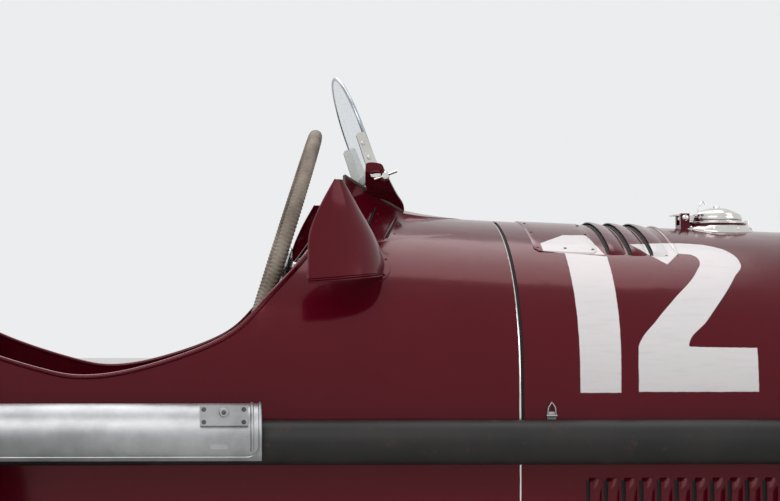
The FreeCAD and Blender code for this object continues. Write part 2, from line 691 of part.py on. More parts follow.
def tail_panel():
    shell = skin_part(-FAR, TAIL_X, -FAR, FAR, 0, FAR)
    shell = shell.cut(box(REAR_AXLE_X - NOTCH_HALF, REAR_AXLE_X + NOTCH_HALF, -FAR, FAR, 0, NOTCH_TOP))
    slot = box(HANGER_X - 26, HANGER_X + 26, RAIL_Y - 16, FAR, 0, 476)
    return shell.cut(slot).cut(mirror_y(slot))


def scuttle_hood():
    shell = hood_solid(0).cut(hood_solid(-SKIN)).cut(OUTER)
    return shell.cut(COCKPIT)


def bonnet():
    return skin_part(BONNET_X0, BONNET_X1, -FAR, FAR, BONNET_Z + 1, FAR)


def side_panel(side):
    low = skin_part(SEAM_X, STEP_X, 0, FAR, SILL_Z, BONNET_Z)
    high = skin_part(STEP_X, COWL_X, 0, FAR, STEP_Z, BONNET_Z)
    panel = low.fuse(high)
    if side < 0:
        panel = mirror_y(panel)
        for i in range(STUBS):
            x = STUB_FIRST + i * STUB_PITCH
            panel = panel.cut(cyl(STUB_RADIUS + STUB_GAP, (x, -FAR, PIPE_Z), (x, 0, PIPE_Z)))
    return panel


def nose_cowl():
    return skin_part(COWL_X, FAR, -FAR, FAR, 0, FAR)


def radiator_core():
    # It fills the cowl a little way behind its mouth
    return INNER.common(box(CORE_X0, CORE_X1, -FAR, FAR, 0, FAR))


def hoop(x0, x1):
    outside = body_solid(-SKIN - LEDGE_GAP)
    inside = body_solid(-2 * SKIN - LEDGE_GAP)
    return outside.cut(inside).common(box(x0, x1, -FAR, FAR, BONNET_Z + 1, FAR))


def bulkhead():
    x0 = SEAM_X - BULKHEAD_SETBACK
    x1 = x0 + BULKHEAD_THICK
    plate = INNER.common(box(x0, x1, -FAR, FAR, SILL_Z + 120, FAR))
    return fuse([plate, hoop(x1, BONNET_X0 + LEDGE)])


def seat_bulkhead():
    plate = INNER.common(box(TAIL_X + 8, TAIL_X + 8 + BULKHEAD_THICK, -FAR, FAR, CROSS_Z1 + 2, FAR))
    rail_slot = box(TAIL_X, TAIL_X + 20, RAIL_Y - 2, RAIL_OUT + 2, 460, 590)
    torque_hole = cyl(75.0, (TAIL_X, 0, REAR_Z), (TAIL_X + 20, 0, REAR_Z))
    return plate.cut(rail_slot).cut(mirror_y(rail_slot)).cut(torque_hole)


def undertray():
    return OUTER.common(box(TAIL_X, STEP_X, -FAR, FAR, SILL_Z - SKIN, SILL_Z))


def exhaust_pipe():
    ends = [(PIPE_REAR, PIPE_Y, PIPE_Z), (PIPE_FRONT, PIPE_Y, PIPE_Z)]
    pieces = [cyl(PIPE_RADIUS, *ends)]
    for i in range(STUBS):
        x = STUB_FIRST + i * STUB_PITCH
        pieces.append(cyl(STUB_RADIUS, (x, -ENGINE_HALF, PIPE_Z), (x, PIPE_Y, PIPE_Z)))
    pipe = fuse(pieces)
    inside = [(PIPE_REAR, PIPE_Y, PIPE_Z), (PIPE_REAR + PIPE_OPEN, PIPE_Y, PIPE_Z)]
    return pipe.cut(cyl(PIPE_RADIUS - PIPE_WALL, *inside))


def exhaust_guard():
    z = PIPE_Z + GUARD_RISE
    ends = [(GUARD_REAR, PIPE_Y, z), (GUARD_FRONT, PIPE_Y, z)]
    tube = cyl(GUARD_RADIUS, *ends).cut(cyl(GUARD_RADIUS - GUARD_WALL, *ends))
    shell = tube.common(box(GUARD_REAR, GUARD_FRONT, -FAR, PIPE_Y + GUARD_LAP, z - GUARD_SKIRT, FAR))
    clips = []
    half = CLIP_HALF
    for x in (GUARD_FRONT - CLIP_INSET, GUARD_REAR + CLIP_INSET):
        x1 = x + CLIP_WIDTH
        low, high = PIPE_Z + PIPE_RADIUS - half, z + GUARD_RADIUS - 1
        clips.append(box(x, x1, PIPE_Y - half, PIPE_Y + half, low, high))
        outer, inner = PIPE_Y - GUARD_RADIUS + 1, PIPE_Y - PIPE_RADIUS + 4
        clips.append(box(x, x1, outer, inner, PIPE_Z - half, PIPE_Z + half))
    whole = fuse([shell] + clips)
    return whole.cut(cyl(PIPE_RADIUS, (PIPE_REAR, PIPE_Y, PIPE_Z), (PIPE_FRONT, PIPE_Y, PIPE_Z)))


def engine_block():
    x1, z1 = ENGINE_X0 + ENGINE_LENGTH, ENGINE_Z0 + ENGINE_HEIGHT
    return box(ENGINE_X0, x1, -ENGINE_HALF, ENGINE_HALF, ENGINE_Z0, z1)


COLUMN_RADIUS = 19.0
SHAFT_RADIUS = 10.0


def along_column(distance):
    tilt = math.radians(COLUMN_TILT)
    x, y, z = STEER_CENTRE
    return (x + distance * math.cos(tilt), y, z - distance * math.sin(tilt))


def steering_wheel():
    axis = vec(*along_column(1)).sub(vec(*STEER_CENTRE))
    ring = Part.makeTorus(STEER_RADIUS, STEER_RIM, vec(*STEER_CENTRE), axis)
    boss = cyl(STEER_BOSS_RADIUS, along_column(2), along_column(24))
    shaft = cyl(SHAFT_RADIUS, along_column(10), along_column(STEER_SHAFT_END))
    arms = []
    tilt = math.radians(COLUMN_TILT)
    for i in range(4):
        angle = math.pi / 4 + i * math.pi / 2
        up = (math.sin(tilt) * math.sin(angle), math.cos(angle), math.cos(tilt) * math.sin(angle))
        foot = along_column(12)
        start = tuple(f + 20 * u for f, u in zip(foot, up))
        tip = tuple(c + (STEER_RADIUS - 3) * u for c, u in zip(STEER_CENTRE, up))
        arms.append(cyl(STEER_ARM_RADIUS, start, tip))
    return fuse([ring, boss, shaft] + arms)


def steering_column():
    tube = cyl(COLUMN_RADIUS, along_column(COLUMN_START), along_column(COLUMN_END))
    tube = tube.cut(cyl(SHAFT_RADIUS + PIN_GAP, along_column(COLUMN_START), along_column(COLUMN_BORE_END)))
    return tube.common(box(-FAR, SEAM_X - BULKHEAD_SETBACK, -FAR, FAR, 0, FAR))


DASH_X = -186.0
DASH_THICK = 5.0
DASH_Z = 660.0
DASH_TOP = 866.0


def dashboard():
    plate = INNER.common(box(DASH_X, DASH_X + DASH_THICK, -FAR, FAR, DASH_Z, DASH_TOP))
    return plate.cut(cyl(COLUMN_RADIUS, along_column(COLUMN_START), along_column(COLUMN_END)))


SEAT_HALF = 215.0
SEAT_WALL = 8.0
CUSHION_HALF = 200.0


def seat_shell():
    outside = [(-440.0, 365.0), (-440.0, 455.0), (-560.0, 470.0), (-690.0, 560.0), (-800.0, 760.0),
               (-895.0, 800.0), (-860.0, 365.0)]
    inside = [(-400.0, 373.0), (-400.0, 600.0), (-560.0, 900.0), (-886.0, 900.0), (-852.0, 373.0)]
    half = SEAT_HALF - SEAT_WALL
    return prism_y(outside, -SEAT_HALF, SEAT_HALF).cut(prism_y(inside, -half, half))


SEAT_FLOOR = 373.0
SOFT_GAP = 0.3


def seat_cushions():
    base = box(-790, -450, -CUSHION_HALF, CUSHION_HALF, SEAT_FLOOR + SOFT_GAP, 440)
    outline = [(-851.4, 374.0), (-876.0, 780.0), (-820.0, 770.0), (-791.0, 374.0)]
    back = prism_y(outline, -CUSHION_HALF, CUSHION_HALF)
    return Part.makeCompound([base, back.cut(base)])


PEDAL_PITCH = 95.0
LEVER_Y = 244.0


def driver_controls():
    pieces = []
    for y in (-PEDAL_PITCH, 0.0, PEDAL_PITCH):
        stem = cyl(7.0, (-40, y, 380), (-60, y, 520))
        pad = box(-72, -64, y - 26, y + 26, 505, 560)
        foot = box(-54, -26, y - 12, y + 12, SILL_Z, 384)
        pieces.append(fuse([stem, pad, foot, box(-66, -58, y - 7, y + 7, 505, 530)]))
    y = LEVER_Y
    bracket = box(-330, -290, y - 12, y + 12, 435, 470)
    rod = cyl(8.0, (-310, y, 460), (-350, y, 600))
    pieces.append(fuse([bracket, rod, Part.makeSphere(17, vec(-351, y, 606))]))
    return Part.makeCompound(pieces)


# Aero screen
SCREEN_BASE = (-130.0, 925.0)
SCREEN_LEAN = 20.0
SCREEN_HALF = 150.0
SCREEN_SIDE = 66.0
SCREEN_HEIGHT = 169.0
SCREEN_THICK = 6.0


def aero_screen():
    side = SCREEN_SIDE
    arch = Part.Ellipse(vec(0, SCREEN_HALF, side), vec(0, 0, SCREEN_HEIGHT), vec(0, 0, side))
    upper = Part.Arc(arch, 0, math.pi).toShape()
    edges = [upper, Part.makeLine(vec(0, -SCREEN_HALF, side), vec(0, -SCREEN_HALF, 0)),
             Part.makeLine(vec(0, -SCREEN_HALF, 0), vec(0, SCREEN_HALF, 0)),
             Part.makeLine(vec(0, SCREEN_HALF, 0), vec(0, SCREEN_HALF, side))]
    pane = Part.Face(Part.Wire(edges)).extrude(vec(SCREEN_THICK, 0, 0))
    pane.rotate(vec(0, 0, 0), vec(0, 1, 0), -SCREEN_LEAN)
    pane.translate(vec(SCREEN_BASE[0], 0, SCREEN_BASE[1]))
    return pane


SCREEN = aero_screen()


def screen_clamps():
    outline = [(-160.0, 978.0), (-142.0, 986.0), (-112.0, 934.0), (-112.0, 820.0), (-142.0, 820.0),
               (-148.0, 930.0)]
    block = prism_y(outline, SCREEN_HALF - 14, SCREEN_HALF + 5)
    solid = block.cut(SCREEN).cut(hood_solid(0)).cut(OUTER)
    return both(solid)


def screen_fairing():
    outline = [(-128.0, 925.0), (-118.0, 930.0), (-106.0, 914.0), (-96.0, 894.0), (-86.0, 866.0),
               (-130.0, 866.0)]
    block = prism_y(outline, -130, 130)
    return block.cut(SCREEN).cut(hood_solid(0))


def wire_z(points, z):
    return Part.makePolygon([vec(x, y, z) for x, y in points + points[:1]])


def wind_deflectors():
    low = [(-128.0, 238.0), (-140.0, 292.0), (-172.0, 334.0), (-243.0, 350.0), (-243.0, 238.0)]
    top = [(-190.0, 284.0), (-191.0, 289.0), (-193.0, 292.0), (-200.0, 294.0), (-200.0, 284.0)]
    outer = Part.makeLoft([wire_z(low, 752), wire_z(top, 905)], True, True)
    low_in = [(-132.0, 230.0), (-144.0, 290.0), (-174.0, 331.0), (-250.0, 346.0), (-250.0, 230.0)]
    top_in = [(-194.0, 276.0), (-194.5, 286.0), (-196.0, 289.0), (-212.0, 291.0), (-212.0, 276.0)]
    inner = Part.makeLoft([wire_z(low_in, 755), wire_z(top_in, 906)], True, True)
    shell = outer.cut(inner).cut(OUTER)
    return both(shell)


CAP_X = 421.0
CAP_RADIUS = 38.0
CAP_REACH = 54.0
CAP_HINGE_RISE = 19.0
CAP_PIN = 3.0
COLLAR_RADIUS = 46.0
COLLAR_BORE = 30.0
COLLAR_DEPTH = 60.0
COLLAR_RISE = 12.0
EAR_IN = 10.0
EAR_OUT = 17.0
BARREL_HALF = 9.0
BARREL_RADIUS = 6.0
CAP_TOP = 846.0
TAIL_CAP_X = -1180.0
TAIL_CAP_TOP = 868.0


def collar(x, top):
    hinge = x - CAP_REACH
    z = top + CAP_HINGE_RISE
    ends = [(x, 0, top - COLLAR_DEPTH), (x, 0, top + COLLAR_RISE)]
    pieces = [cyl(COLLAR_RADIUS, *ends)]
    for y in (-EAR_OUT, EAR_IN):
        pieces.append(box(hinge - 7, hinge + 7, y, y + EAR_OUT - EAR_IN, top - 20, z + 7))
    pieces.append(box(hinge - 7, x - COLLAR_BORE, -EAR_OUT, EAR_OUT, top - 20, top + 8))
    pieces.append(cyl(CAP_PIN, (hinge, -EAR_OUT, z), (hinge, EAR_OUT, z)))
    neck = cyl(COLLAR_BORE, *ends)
    return fuse(pieces).cut(neck).cut(OUTER)


def cap(x, top):
    hinge = x - CAP_REACH
    disc = cyl(CAP_RADIUS, (x, 0, top + 13), (x, 0, top + 24))
    dome = Part.makeSphere(60, vec(x, 0, top - 24)).common(cyl(34.0, (x, 0, top + 24), (x, 0, top + 60)))
    z = top + CAP_HINGE_RISE
    ear = box(hinge, x, -BARREL_HALF, BARREL_HALF, z - 4, z + 4)
    barrel = cyl(BARREL_RADIUS, (hinge, -BARREL_HALF, z), (hinge, BARREL_HALF, z))
    bore = cyl(CAP_PIN + PIN_GAP, (hinge, -EAR_OUT, z), (hinge, EAR_OUT, z))
    return fuse([disc, dome, ear, barrel]).cut(bore)


NODES = {
    "chassis_frame": frame_rails,
    "front_axle_beam": front_axle,
    "front_springs": front_springs,
    "rear_springs": rear_springs,
    "rear_axle": rear_axle,
    "front_dampers": lambda: both(front_damper()),
    "rear_dampers": lambda: both(rear_damper()),
    "knuckle_left": knuckle,
    "knuckle_right": lambda: mirror_y(knuckle()),
    "track_rod": track_rod,
    "pitman_arm": pitman_arm,
    "steering_box": steering_box,
    "cockpit_tub": cockpit_tub,
    "tail_panel": tail_panel,
    "scuttle_hood": scuttle_hood,
    "bonnet": bonnet,
    "side_panel_left": lambda: side_panel(1),
    "side_panel_right": lambda: side_panel(-1),
    "nose_cowl": nose_cowl,
    "radiator_grille": radiator_core,
    "bulkhead": bulkhead,
    "undertray": undertray,
    "exhaust_pipe": exhaust_pipe,
    "exhaust_guard": exhaust_guard,
    "engine_block": engine_block,
    "steering_wheel": steering_wheel,
    "steering_column": steering_column,
    "dashboard": dashboard,
    "seat_shell": seat_shell,
    "seat_cushions": seat_cushions,
    "driver_controls": driver_controls,
    "aero_screen": lambda: SCREEN,
    "screen_clamps": screen_clamps,
    "screen_fairing": screen_fairing,
    "wind_deflectors": wind_deflectors,
    "seat_bulkhead": seat_bulkhead,
    "bonnet_filler": lambda: collar(CAP_X, CAP_TOP),
    "bonnet_cap": lambda: cap(CAP_X, CAP_TOP),
    "tail_filler": lambda: collar(TAIL_CAP_X, TAIL_CAP_TOP),
    "tail_cap": lambda: cap(TAIL_CAP_X, TAIL_CAP_TOP),
}
for name, make in NODES.items():
    save(name, make())

FRONT_WHEEL = wire_wheel(FRONT_RIM_WIDTH)
REAR_WHEEL = wire_wheel(REAR_RIM_WIDTH)
DRUM = brake_drum()
FRONT_TYRE = tyre(FRONT_TYRE_RADIUS, FRONT_TYRE_WIDTH, FRONT_RIM_WIDTH)
REAR_TYRE = tyre(REAR_TYRE_RADIUS, REAR_TYRE_WIDTH, REAR_RIM_WIDTH)
for corner, x, y, z, wheel, rubber in (
    ("front_left", FRONT_AXLE_X, FRONT_Y, AXLE_Z, FRONT_WHEEL, FRONT_TYRE),
    ("front_right", FRONT_AXLE_X, -FRONT_Y, AXLE_Z, FRONT_WHEEL, FRONT_TYRE),
    ("rear_left", REAR_AXLE_X, REAR_Y, REAR_Z, REAR_WHEEL, REAR_TYRE),
    ("rear_right", REAR_AXLE_X, -REAR_Y, REAR_Z, REAR_WHEEL, REAR_TYRE),
):
    save("wheel_" + corner, place(wheel, x, y, z))
    save("tyre_" + corner, place(rubber, x, y, z))
    save("drum_" + corner, place(DRUM, x, y, z))
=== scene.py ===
import json
import math

import bmesh
import bpy
import numpy as np
from mathutils import Matrix, Vector
from mathutils.bvhtree import BVHTree


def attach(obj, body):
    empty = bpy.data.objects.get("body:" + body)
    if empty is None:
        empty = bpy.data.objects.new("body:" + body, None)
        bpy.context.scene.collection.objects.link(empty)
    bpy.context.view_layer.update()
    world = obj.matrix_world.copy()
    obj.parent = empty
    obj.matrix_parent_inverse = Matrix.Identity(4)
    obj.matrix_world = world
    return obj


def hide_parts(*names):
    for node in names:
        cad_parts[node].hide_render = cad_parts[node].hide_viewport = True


# Looks of an open wheel racing car of the thirties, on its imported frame. Metres.
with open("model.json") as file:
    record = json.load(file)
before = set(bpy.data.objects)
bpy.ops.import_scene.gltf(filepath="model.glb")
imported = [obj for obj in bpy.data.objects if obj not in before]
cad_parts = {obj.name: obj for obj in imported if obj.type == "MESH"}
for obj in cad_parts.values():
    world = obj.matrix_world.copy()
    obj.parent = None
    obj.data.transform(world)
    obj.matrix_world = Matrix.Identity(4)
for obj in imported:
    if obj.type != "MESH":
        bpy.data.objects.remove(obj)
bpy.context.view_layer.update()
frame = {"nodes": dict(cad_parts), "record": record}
nodes = frame["nodes"]
scene = bpy.context.scene

# The photograph's frame in pixels, its camera and the point of the picture that the camera faces
PICTURE = (780, 501)
FOCAL_PIXELS = 1814.0
SENSOR = 36.0
EYE = (-0.356, -2.85, 0.706)
FACED = (225.0, 319.0)
SHIFT = (0.16, 0.03)


def held(data, name="holder"):
    """An object that shows some data, in the scene."""
    made = bpy.data.objects.new(name, data)
    scene.collection.objects.link(made)
    return made


def make_camera():
    data = bpy.data.cameras.new("camera")
    data.sensor_width = SENSOR
    data.lens = SENSOR * FOCAL_PIXELS / PICTURE[0]
    data.shift_x, data.shift_y = SHIFT
    right = PICTURE[0] / 2 - FACED[0] - SHIFT[0] * PICTURE[0]
    up = FACED[1] - PICTURE[1] / 2 - SHIFT[1] * PICTURE[0]
    scene.camera = camera = held(data, "camera")
    camera.location = EYE
    camera.rotation_euler = (math.pi / 2 + math.atan(up / FOCAL_PIXELS), 0, -math.atan(right / FOCAL_PIXELS))


def maths_of(operation):
    """One kind of maths node, as a method of a link."""
    return lambda link, *others: link.graph.maths(operation, link, *others)


class Link:
    """A socket of a node tree, on which sums can be written."""

    __add__ = __radd__ = maths_of("ADD")
    __sub__ = maths_of("SUBTRACT")
    __mul__ = __rmul__ = maths_of("MULTIPLY")
    __truediv__ = maths_of("DIVIDE")
    least, most, power = maths_of("MINIMUM"), maths_of("MAXIMUM"), maths_of("POWER")
    cosine, sine = maths_of("COSINE"), maths_of("SINE")

    def __init__(self, graph, socket):
        self.graph, self.socket = graph, socket

    def __rsub__(self, other):
        return self.graph.maths("SUBTRACT", other, self)

    def ramp(self, low, high):
        """0 below low, 1 above high, and smooth between."""
        sockets = {0: self, 1: low, 2: high}
        return self.graph.node("ShaderNodeMapRange", sockets, interpolation_type="SMOOTHSTEP")


class Graph:
    """A node tree that is filled from Python, for a material or for geometry."""

    def __init__(self, tree):
        self.tree = tree

    def node(self, kind, sockets=None, out=0, **settings):
        """Makes a node, its sockets given by name or number. Returns one output, or the node with out=None."""
        made = self.tree.nodes.new(kind)
        for name, value in settings.items():
            setattr(made, name, value)
        for name, value in (sockets or {}).items():
            if isinstance(value, Link):
                self.tree.links.new(value.socket, made.inputs[name])
            else:
                made.inputs[name].default_value = value
        return made if out is None else Link(self, made.outputs[out])

    def maths(self, operation, *values):
        return self.node("ShaderNodeMath", dict(enumerate(values)), operation=operation)

    def vectors(self, operation, *values, out=0):
        return self.node("ShaderNodeVectorMath", dict(enumerate(values)), out, operation=operation)

    def vector(self, x, y, z):
        return self.node("ShaderNodeCombineXYZ", {0: x, 1: y, 2: z})

    def axes(self, vector):
        return [Link(self, out) for out in self.node("ShaderNodeSeparateXYZ", {0: vector}, None).outputs]


def clear_colour(rgb):
    """Linear colour of an sRGB colour given in 0 to 255."""
    return [(v / 255 / 12.92) if v / 255 < 0.04 else ((v / 255 + 0.055) / 1.055) ** 2.4 for v in rgb] + [1.0]


class Finish(Graph):
    """A material with one main shader, whose places are object coordinates in metres."""

    def __init__(self, name, **fixed):
        self.material = bpy.data.materials.new(name)
        self.material.use_nodes = True
        super().__init__(self.material.node_tree)
        self.shader = self.tree.nodes["Principled BSDF"]
        for key, value in fixed.items():
            self.shader.inputs[key.replace("_", " ")].default_value = value
        self.place = self.node("ShaderNodeTexCoord", out="Object")
        self.x, self.y, self.z = self.axes(self.place)

    def noise(self, scale, detail=2.0, rough=0.5, stretch=(1, 1, 1)):
        where = self.vectors("MULTIPLY", self.place, stretch)
        sockets = {"Vector": where, "Scale": scale, "Detail": detail, "Roughness": rough}
        return self.node("ShaderNodeTexNoise", sockets)

    def grain(self, scale, feature="F1"):
        sockets = {"Vector": self.place, "Scale": scale}
        return self.node("ShaderNodeTexVoronoi", sockets, "Distance", feature=feature)

    def blend(self, share, first, second):
        """first where share is 0 and second where it is 1: links, or sRGB colours in 0 to 255."""
        first, second = (c if isinstance(c, Link) else clear_colour(c) for c in (first, second))
        return self.node("ShaderNodeMix", {0: share, 6: first, 7: second}, 2, data_type="RGBA")

    def bump(self, height, distance=0.001, strength=1.0, under=None):
        sockets = {"Height": height, "Distance": distance, "Strength": strength}
        return self.node("ShaderNodeBump", sockets if under is None else {**sockets, "Normal": under})

    def set(self, **varied):
        """Links values to the main shader and returns the material."""
        for key, value in varied.items():
            self.tree.links.new(value.socket, self.shader.inputs[key.replace("_", " ")])
        return self.material


# Name, place, what it faces, size and power of each lamp
LAMPS = (("key", (-2.5, -4.5, 5.0), (0.0, 0.0, 0.6), 4.0, 165.0),
         ("fill", (4.5, -3.5, 2.6), (0.4, 0.0, 0.5), 3.0, 45.0),
         ("top", (0.0, 1.5, 5.5), (0.0, 0.0, 0.5), 4.0, 90.0),
         ("behind", (-1.0, 4.5, 4.8), (0.0, 0.0, 0.6), 3.0, 60.0))


def make_stage():
    bpy.ops.mesh.primitive_plane_add(size=60)
    floor = bpy.context.active_object
    floor.name = "floor"
    pale = Finish("pale_floor", Roughness=0.7)
    near = pale.blend(pale.noise(0.8, 4.0), (212, 212, 210), (222, 222, 221))
    away = (pale.x * pale.x + pale.y * pale.y).power(0.5).ramp(2.5, 9.0)
    floor.data.materials.append(pale.set(Base_Color=pale.blend(away, near, (250, 250, 250))))
    scene.world = world = bpy.data.worlds.new("studio")
    world.use_nodes = True
    graph = Graph(world.node_tree)
    rays = graph.node("ShaderNodeLightPath", out=None).outputs
    seen = Link(graph, rays["Is Camera Ray"])
    for name in ("Is Glossy Ray", "Is Transmission Ray"):
        seen = seen.most(Link(graph, rays[name]))
    light = graph.node("ShaderNodeBackground", {"Color": (1, 1, 1, 1), "Strength": 0.62})
    backdrop = graph.node("ShaderNodeBackground", {"Color": clear_colour((236, 237, 238)), "Strength": 1.0})
    both = graph.node("ShaderNodeMixShader", {0: seen, 1: light, 2: backdrop})
    graph.tree.links.new(both.socket, world.node_tree.nodes["World Output"].inputs[0])
    for name, place, target, size, power in LAMPS:
        data = bpy.data.lights.new(name, "AREA")
        data.size, data.energy = size, power
        lamp = held(data, name)
        lamp.location = place
        lamp.rotation_euler = (Vector(target) - Vector(place)).to_track_quat("-Z", "Y").to_euler()


scene.view_settings.view_transform = "Standard"
make_camera()
make_stage()

# Finishes. The number's outlines are (x, z) corners; the 2 has two edges, each as (z, x) points.
NUMBER_MIDDLE = 0.5158
HOOK_OF_TWO = ((0.246, 0.817), (0.292, 0.786), (0.314, 0.802), (0.300, 0.8195))
FLAG_OF_ONE = ((0.1125, 0.8186), (0.1125, 0.8040), (0.1450, 0.8028), (0.2058, 0.7967), (0.187, 0.8323),
               (0.1528, 0.8323))
STEM_OF_ONE = ((0.1435, 0.6023), (0.2010, 0.6023), (0.2058, 0.7980), (0.1445, 0.8040))
TWO_RIGHT = ((0.600, 0.397), (0.6655, 0.397), (0.6665, 0.300), (0.705, 0.331), (0.767, 0.385), (0.789, 0.402),
             (0.802, 0.397), (0.8155, 0.369), (0.8195, 0.332))
TWO_LEFT = ((0.600, 0.226), (0.6670, 0.228), (0.705, 0.258), (0.732, 0.285), (0.777, 0.333), (0.792, 0.342),
            (0.8025, 0.331), (0.8030, 0.300), (0.8195, 0.300))
TWO_RANGE, TWO_SPAN = (0.600, 0.820), (0.200, 0.420)
TWO_FOOT, TWO_TOP = 0.6035, 0.8195
BRUSH_SOFT = 0.0006


def polygon_mask(x, z, corners):
    """1 inside a convex polygon whose corners go round against the clock, seen with x to the right and z up."""
    inside = None
    for (x0, z0), (x1, z1) in zip(corners, corners[1:] + corners[:1]):
        length = math.hypot(x1 - x0, z1 - z0)
        a, b = (z0 - z1) / length, (x1 - x0) / length
        depth = x * a + z * b - (x0 * a + z0 * b)
        inside = depth if inside is None else inside.least(depth)
    return inside.ramp(-BRUSH_SOFT, BRUSH_SOFT)


def edge_curve(finish, z, points):
    """The x of an outline at height z, from its points (z, x)."""
    (low, high), (start, end) = TWO_RANGE, TWO_SPAN
    made = finish.node("ShaderNodeFloatCurve", {"Value": (z - low) / (high - low)}, None)
    curve = made.mapping.curves[0]
    while len(curve.points) < len(points):
        curve.points.new(0.5, 0.5)
    for point, (height, x) in zip(curve.points, points):
        point.location = ((height - low) / (high - low), (x - start) / (end - start))
        point.handle_type = "AUTO_CLAMPED"
    made.mapping.update()
    return Link(finish, made.outputs[0]) * (end - start) + start


def number_mask(finish):
    """The racing number on both sides of the bonnet, brushed on by hand."""
    left = finish.y.ramp(-0.001, 0.001)
    waver = (finish.noise(90.0, 3.0) - 0.5) * 0.0012
    x = finish.x + left * (NUMBER_MIDDLE - 2 * finish.x) + waver
    z = finish.z + waver
    one = polygon_mask(x, z, FLAG_OF_ONE).most(polygon_mask(x, z, STEM_OF_ONE))
    two = (x - edge_curve(finish, z, TWO_LEFT)).least(edge_curve(finish, z, TWO_RIGHT) - x)
    two = two.least(z - TWO_FOOT).least(TWO_TOP - z).ramp(-BRUSH_SOFT, BRUSH_SOFT)
    return one.most(two).most(polygon_mask(x, z, HOOK_OF_TWO))


def paint(name, numbered=False):
    """Deep red gloss: slight waves of hand spraying, and dust on what faces up."""
    made = Finish(name, Coat_Weight=0.12, Coat_Roughness=0.06, Specular_IOR_Level=0.42,
                  Specular_Tint=(1.0, 0.32, 0.34, 1.0))
    patches = made.noise(6.0, 4.0, 0.6)
    up = made.axes(made.node("ShaderNodeNewGeometry", out="Normal"))[2]
    dust = up.ramp(0.55, 1.0) * made.noise(220.0, 5.0, 0.7).ramp(0.35, 0.75)
    colour = made.blend(dust * 0.05, made.blend(patches, (78, 4, 21), (64, 2, 15)), (128, 92, 92))
    rough = 0.12 + patches * 0.07 + dust * 0.05
    relief = made.bump(made.noise(9.0, 2.0), 0.0025, 0.5, made.bump(made.noise(420.0, 2.0), 0.00006, 0.5))
    if numbered:
        mask = number_mask(made)
        strokes = made.noise(60.0, 4.0, 0.6, (0.4, 1.0, 3.0))
        colour = made.blend(mask, colour, made.blend(strokes.ramp(0.45, 0.8), (208, 207, 208), (201, 199, 200)))
        rough = rough + mask * 0.16
        relief = made.bump(mask, 0.00025, 0.6, relief)
    return made.set(Base_Color=colour, Roughness=rough, Normal=relief)


def metal(name, low, high, rough, spread, brushed=(1, 1, 1), pits=0.0, scratch=0.3):
    """Bare metal with patches of tarnish and fine marks. brushed stretches its grain along one way."""
    made = Finish(name, Metallic=1.0)
    patches = made.noise(14.0, 5.0, 0.6)
    marks = made.noise(260.0, 3.0, 0.6, brushed)
    clear = made.blend(patches.ramp(0.3, 0.7), low, high)
    colour = made.blend((1 - made.grain(160.0).ramp(0.0, 0.25)) * pits, clear, [v * 0.45 for v in low])
    return made.set(Base_Color=colour, Roughness=rough + patches * spread + marks * spread * 0.6,
                    Normal=made.bump(marks, 0.00008, scratch))


def plain(name, first, second, cloud, span, rough, grain, relief, spots=None, **fixed):
    """Two colours in a cloud that also roughens them, and a fine grain. spots, which are chips or rust, give their
    noise, span, share, colour, metal and roughness."""
    made = Finish(name, **fixed)
    patches = made.noise(*cloud)
    colour, roughness = made.blend(patches.ramp(*span), first, second), rough[0] + patches * rough[1]
    if spots:
        noise, spot_span, share, spot_colour, shine, dull = spots
        spot = made.noise(*noise).ramp(*spot_span)
        colour = made.blend(spot * share, colour, spot_colour)
        roughness = roughness + spot * dull
        made.set(Metallic=spot * shine)
    return made.set(Base_Color=colour, Roughness=roughness, Normal=made.bump(made.noise(*grain), *relief))


def painted(name, first, second, rough, grit=0.2, chips=None):
    """Plain paint on a frame or casting, with grime and a few chips down to the metal."""
    spots = chips and ((70.0, 4.0, 0.7), (0.70, 0.74), 1.0, chips, 0.8, 0.0)
    return plain(name, first, second, (9.0, 6.0, 0.65), (0.35, 0.75), (rough, 0.2), (240.0, 4.0, 0.6),
                 (0.0002, grit), spots)


def leather():
    made = Finish("seat_leather", Specular_IOR_Level=0.4)
    cells = made.grain(330.0, "DISTANCE_TO_EDGE")
    worn = made.noise(5.0, 5.0, 0.6)
    creases = made.noise(38.0, 4.0, 0.65)
    colour = made.blend(worn.ramp(0.3, 0.7), (46, 26, 19), (84, 50, 34))
    colour = made.blend(creases.ramp(0.62, 0.8) * 0.5, colour, (112, 76, 54))
    relief = made.bump(creases, 0.0012, 0.4, made.bump(cells.ramp(0.0, 0.12), 0.0003, 0.6))
    return made.set(Base_Color=colour, Roughness=0.5 - worn.ramp(0.3, 0.8) * 0.15, Normal=relief)


def glass():
    made = Finish("screen_glass", IOR=1.49, Transmission_Weight=1.0)
    smear = made.noise(16.0, 4.0, 0.6, (1.0, 1.0, 0.35))
    return made.set(Base_Color=made.blend(smear, (206, 214, 218), (190, 199, 204)),
                    Roughness=0.01 + smear.ramp(0.55, 0.9) * 0.05)


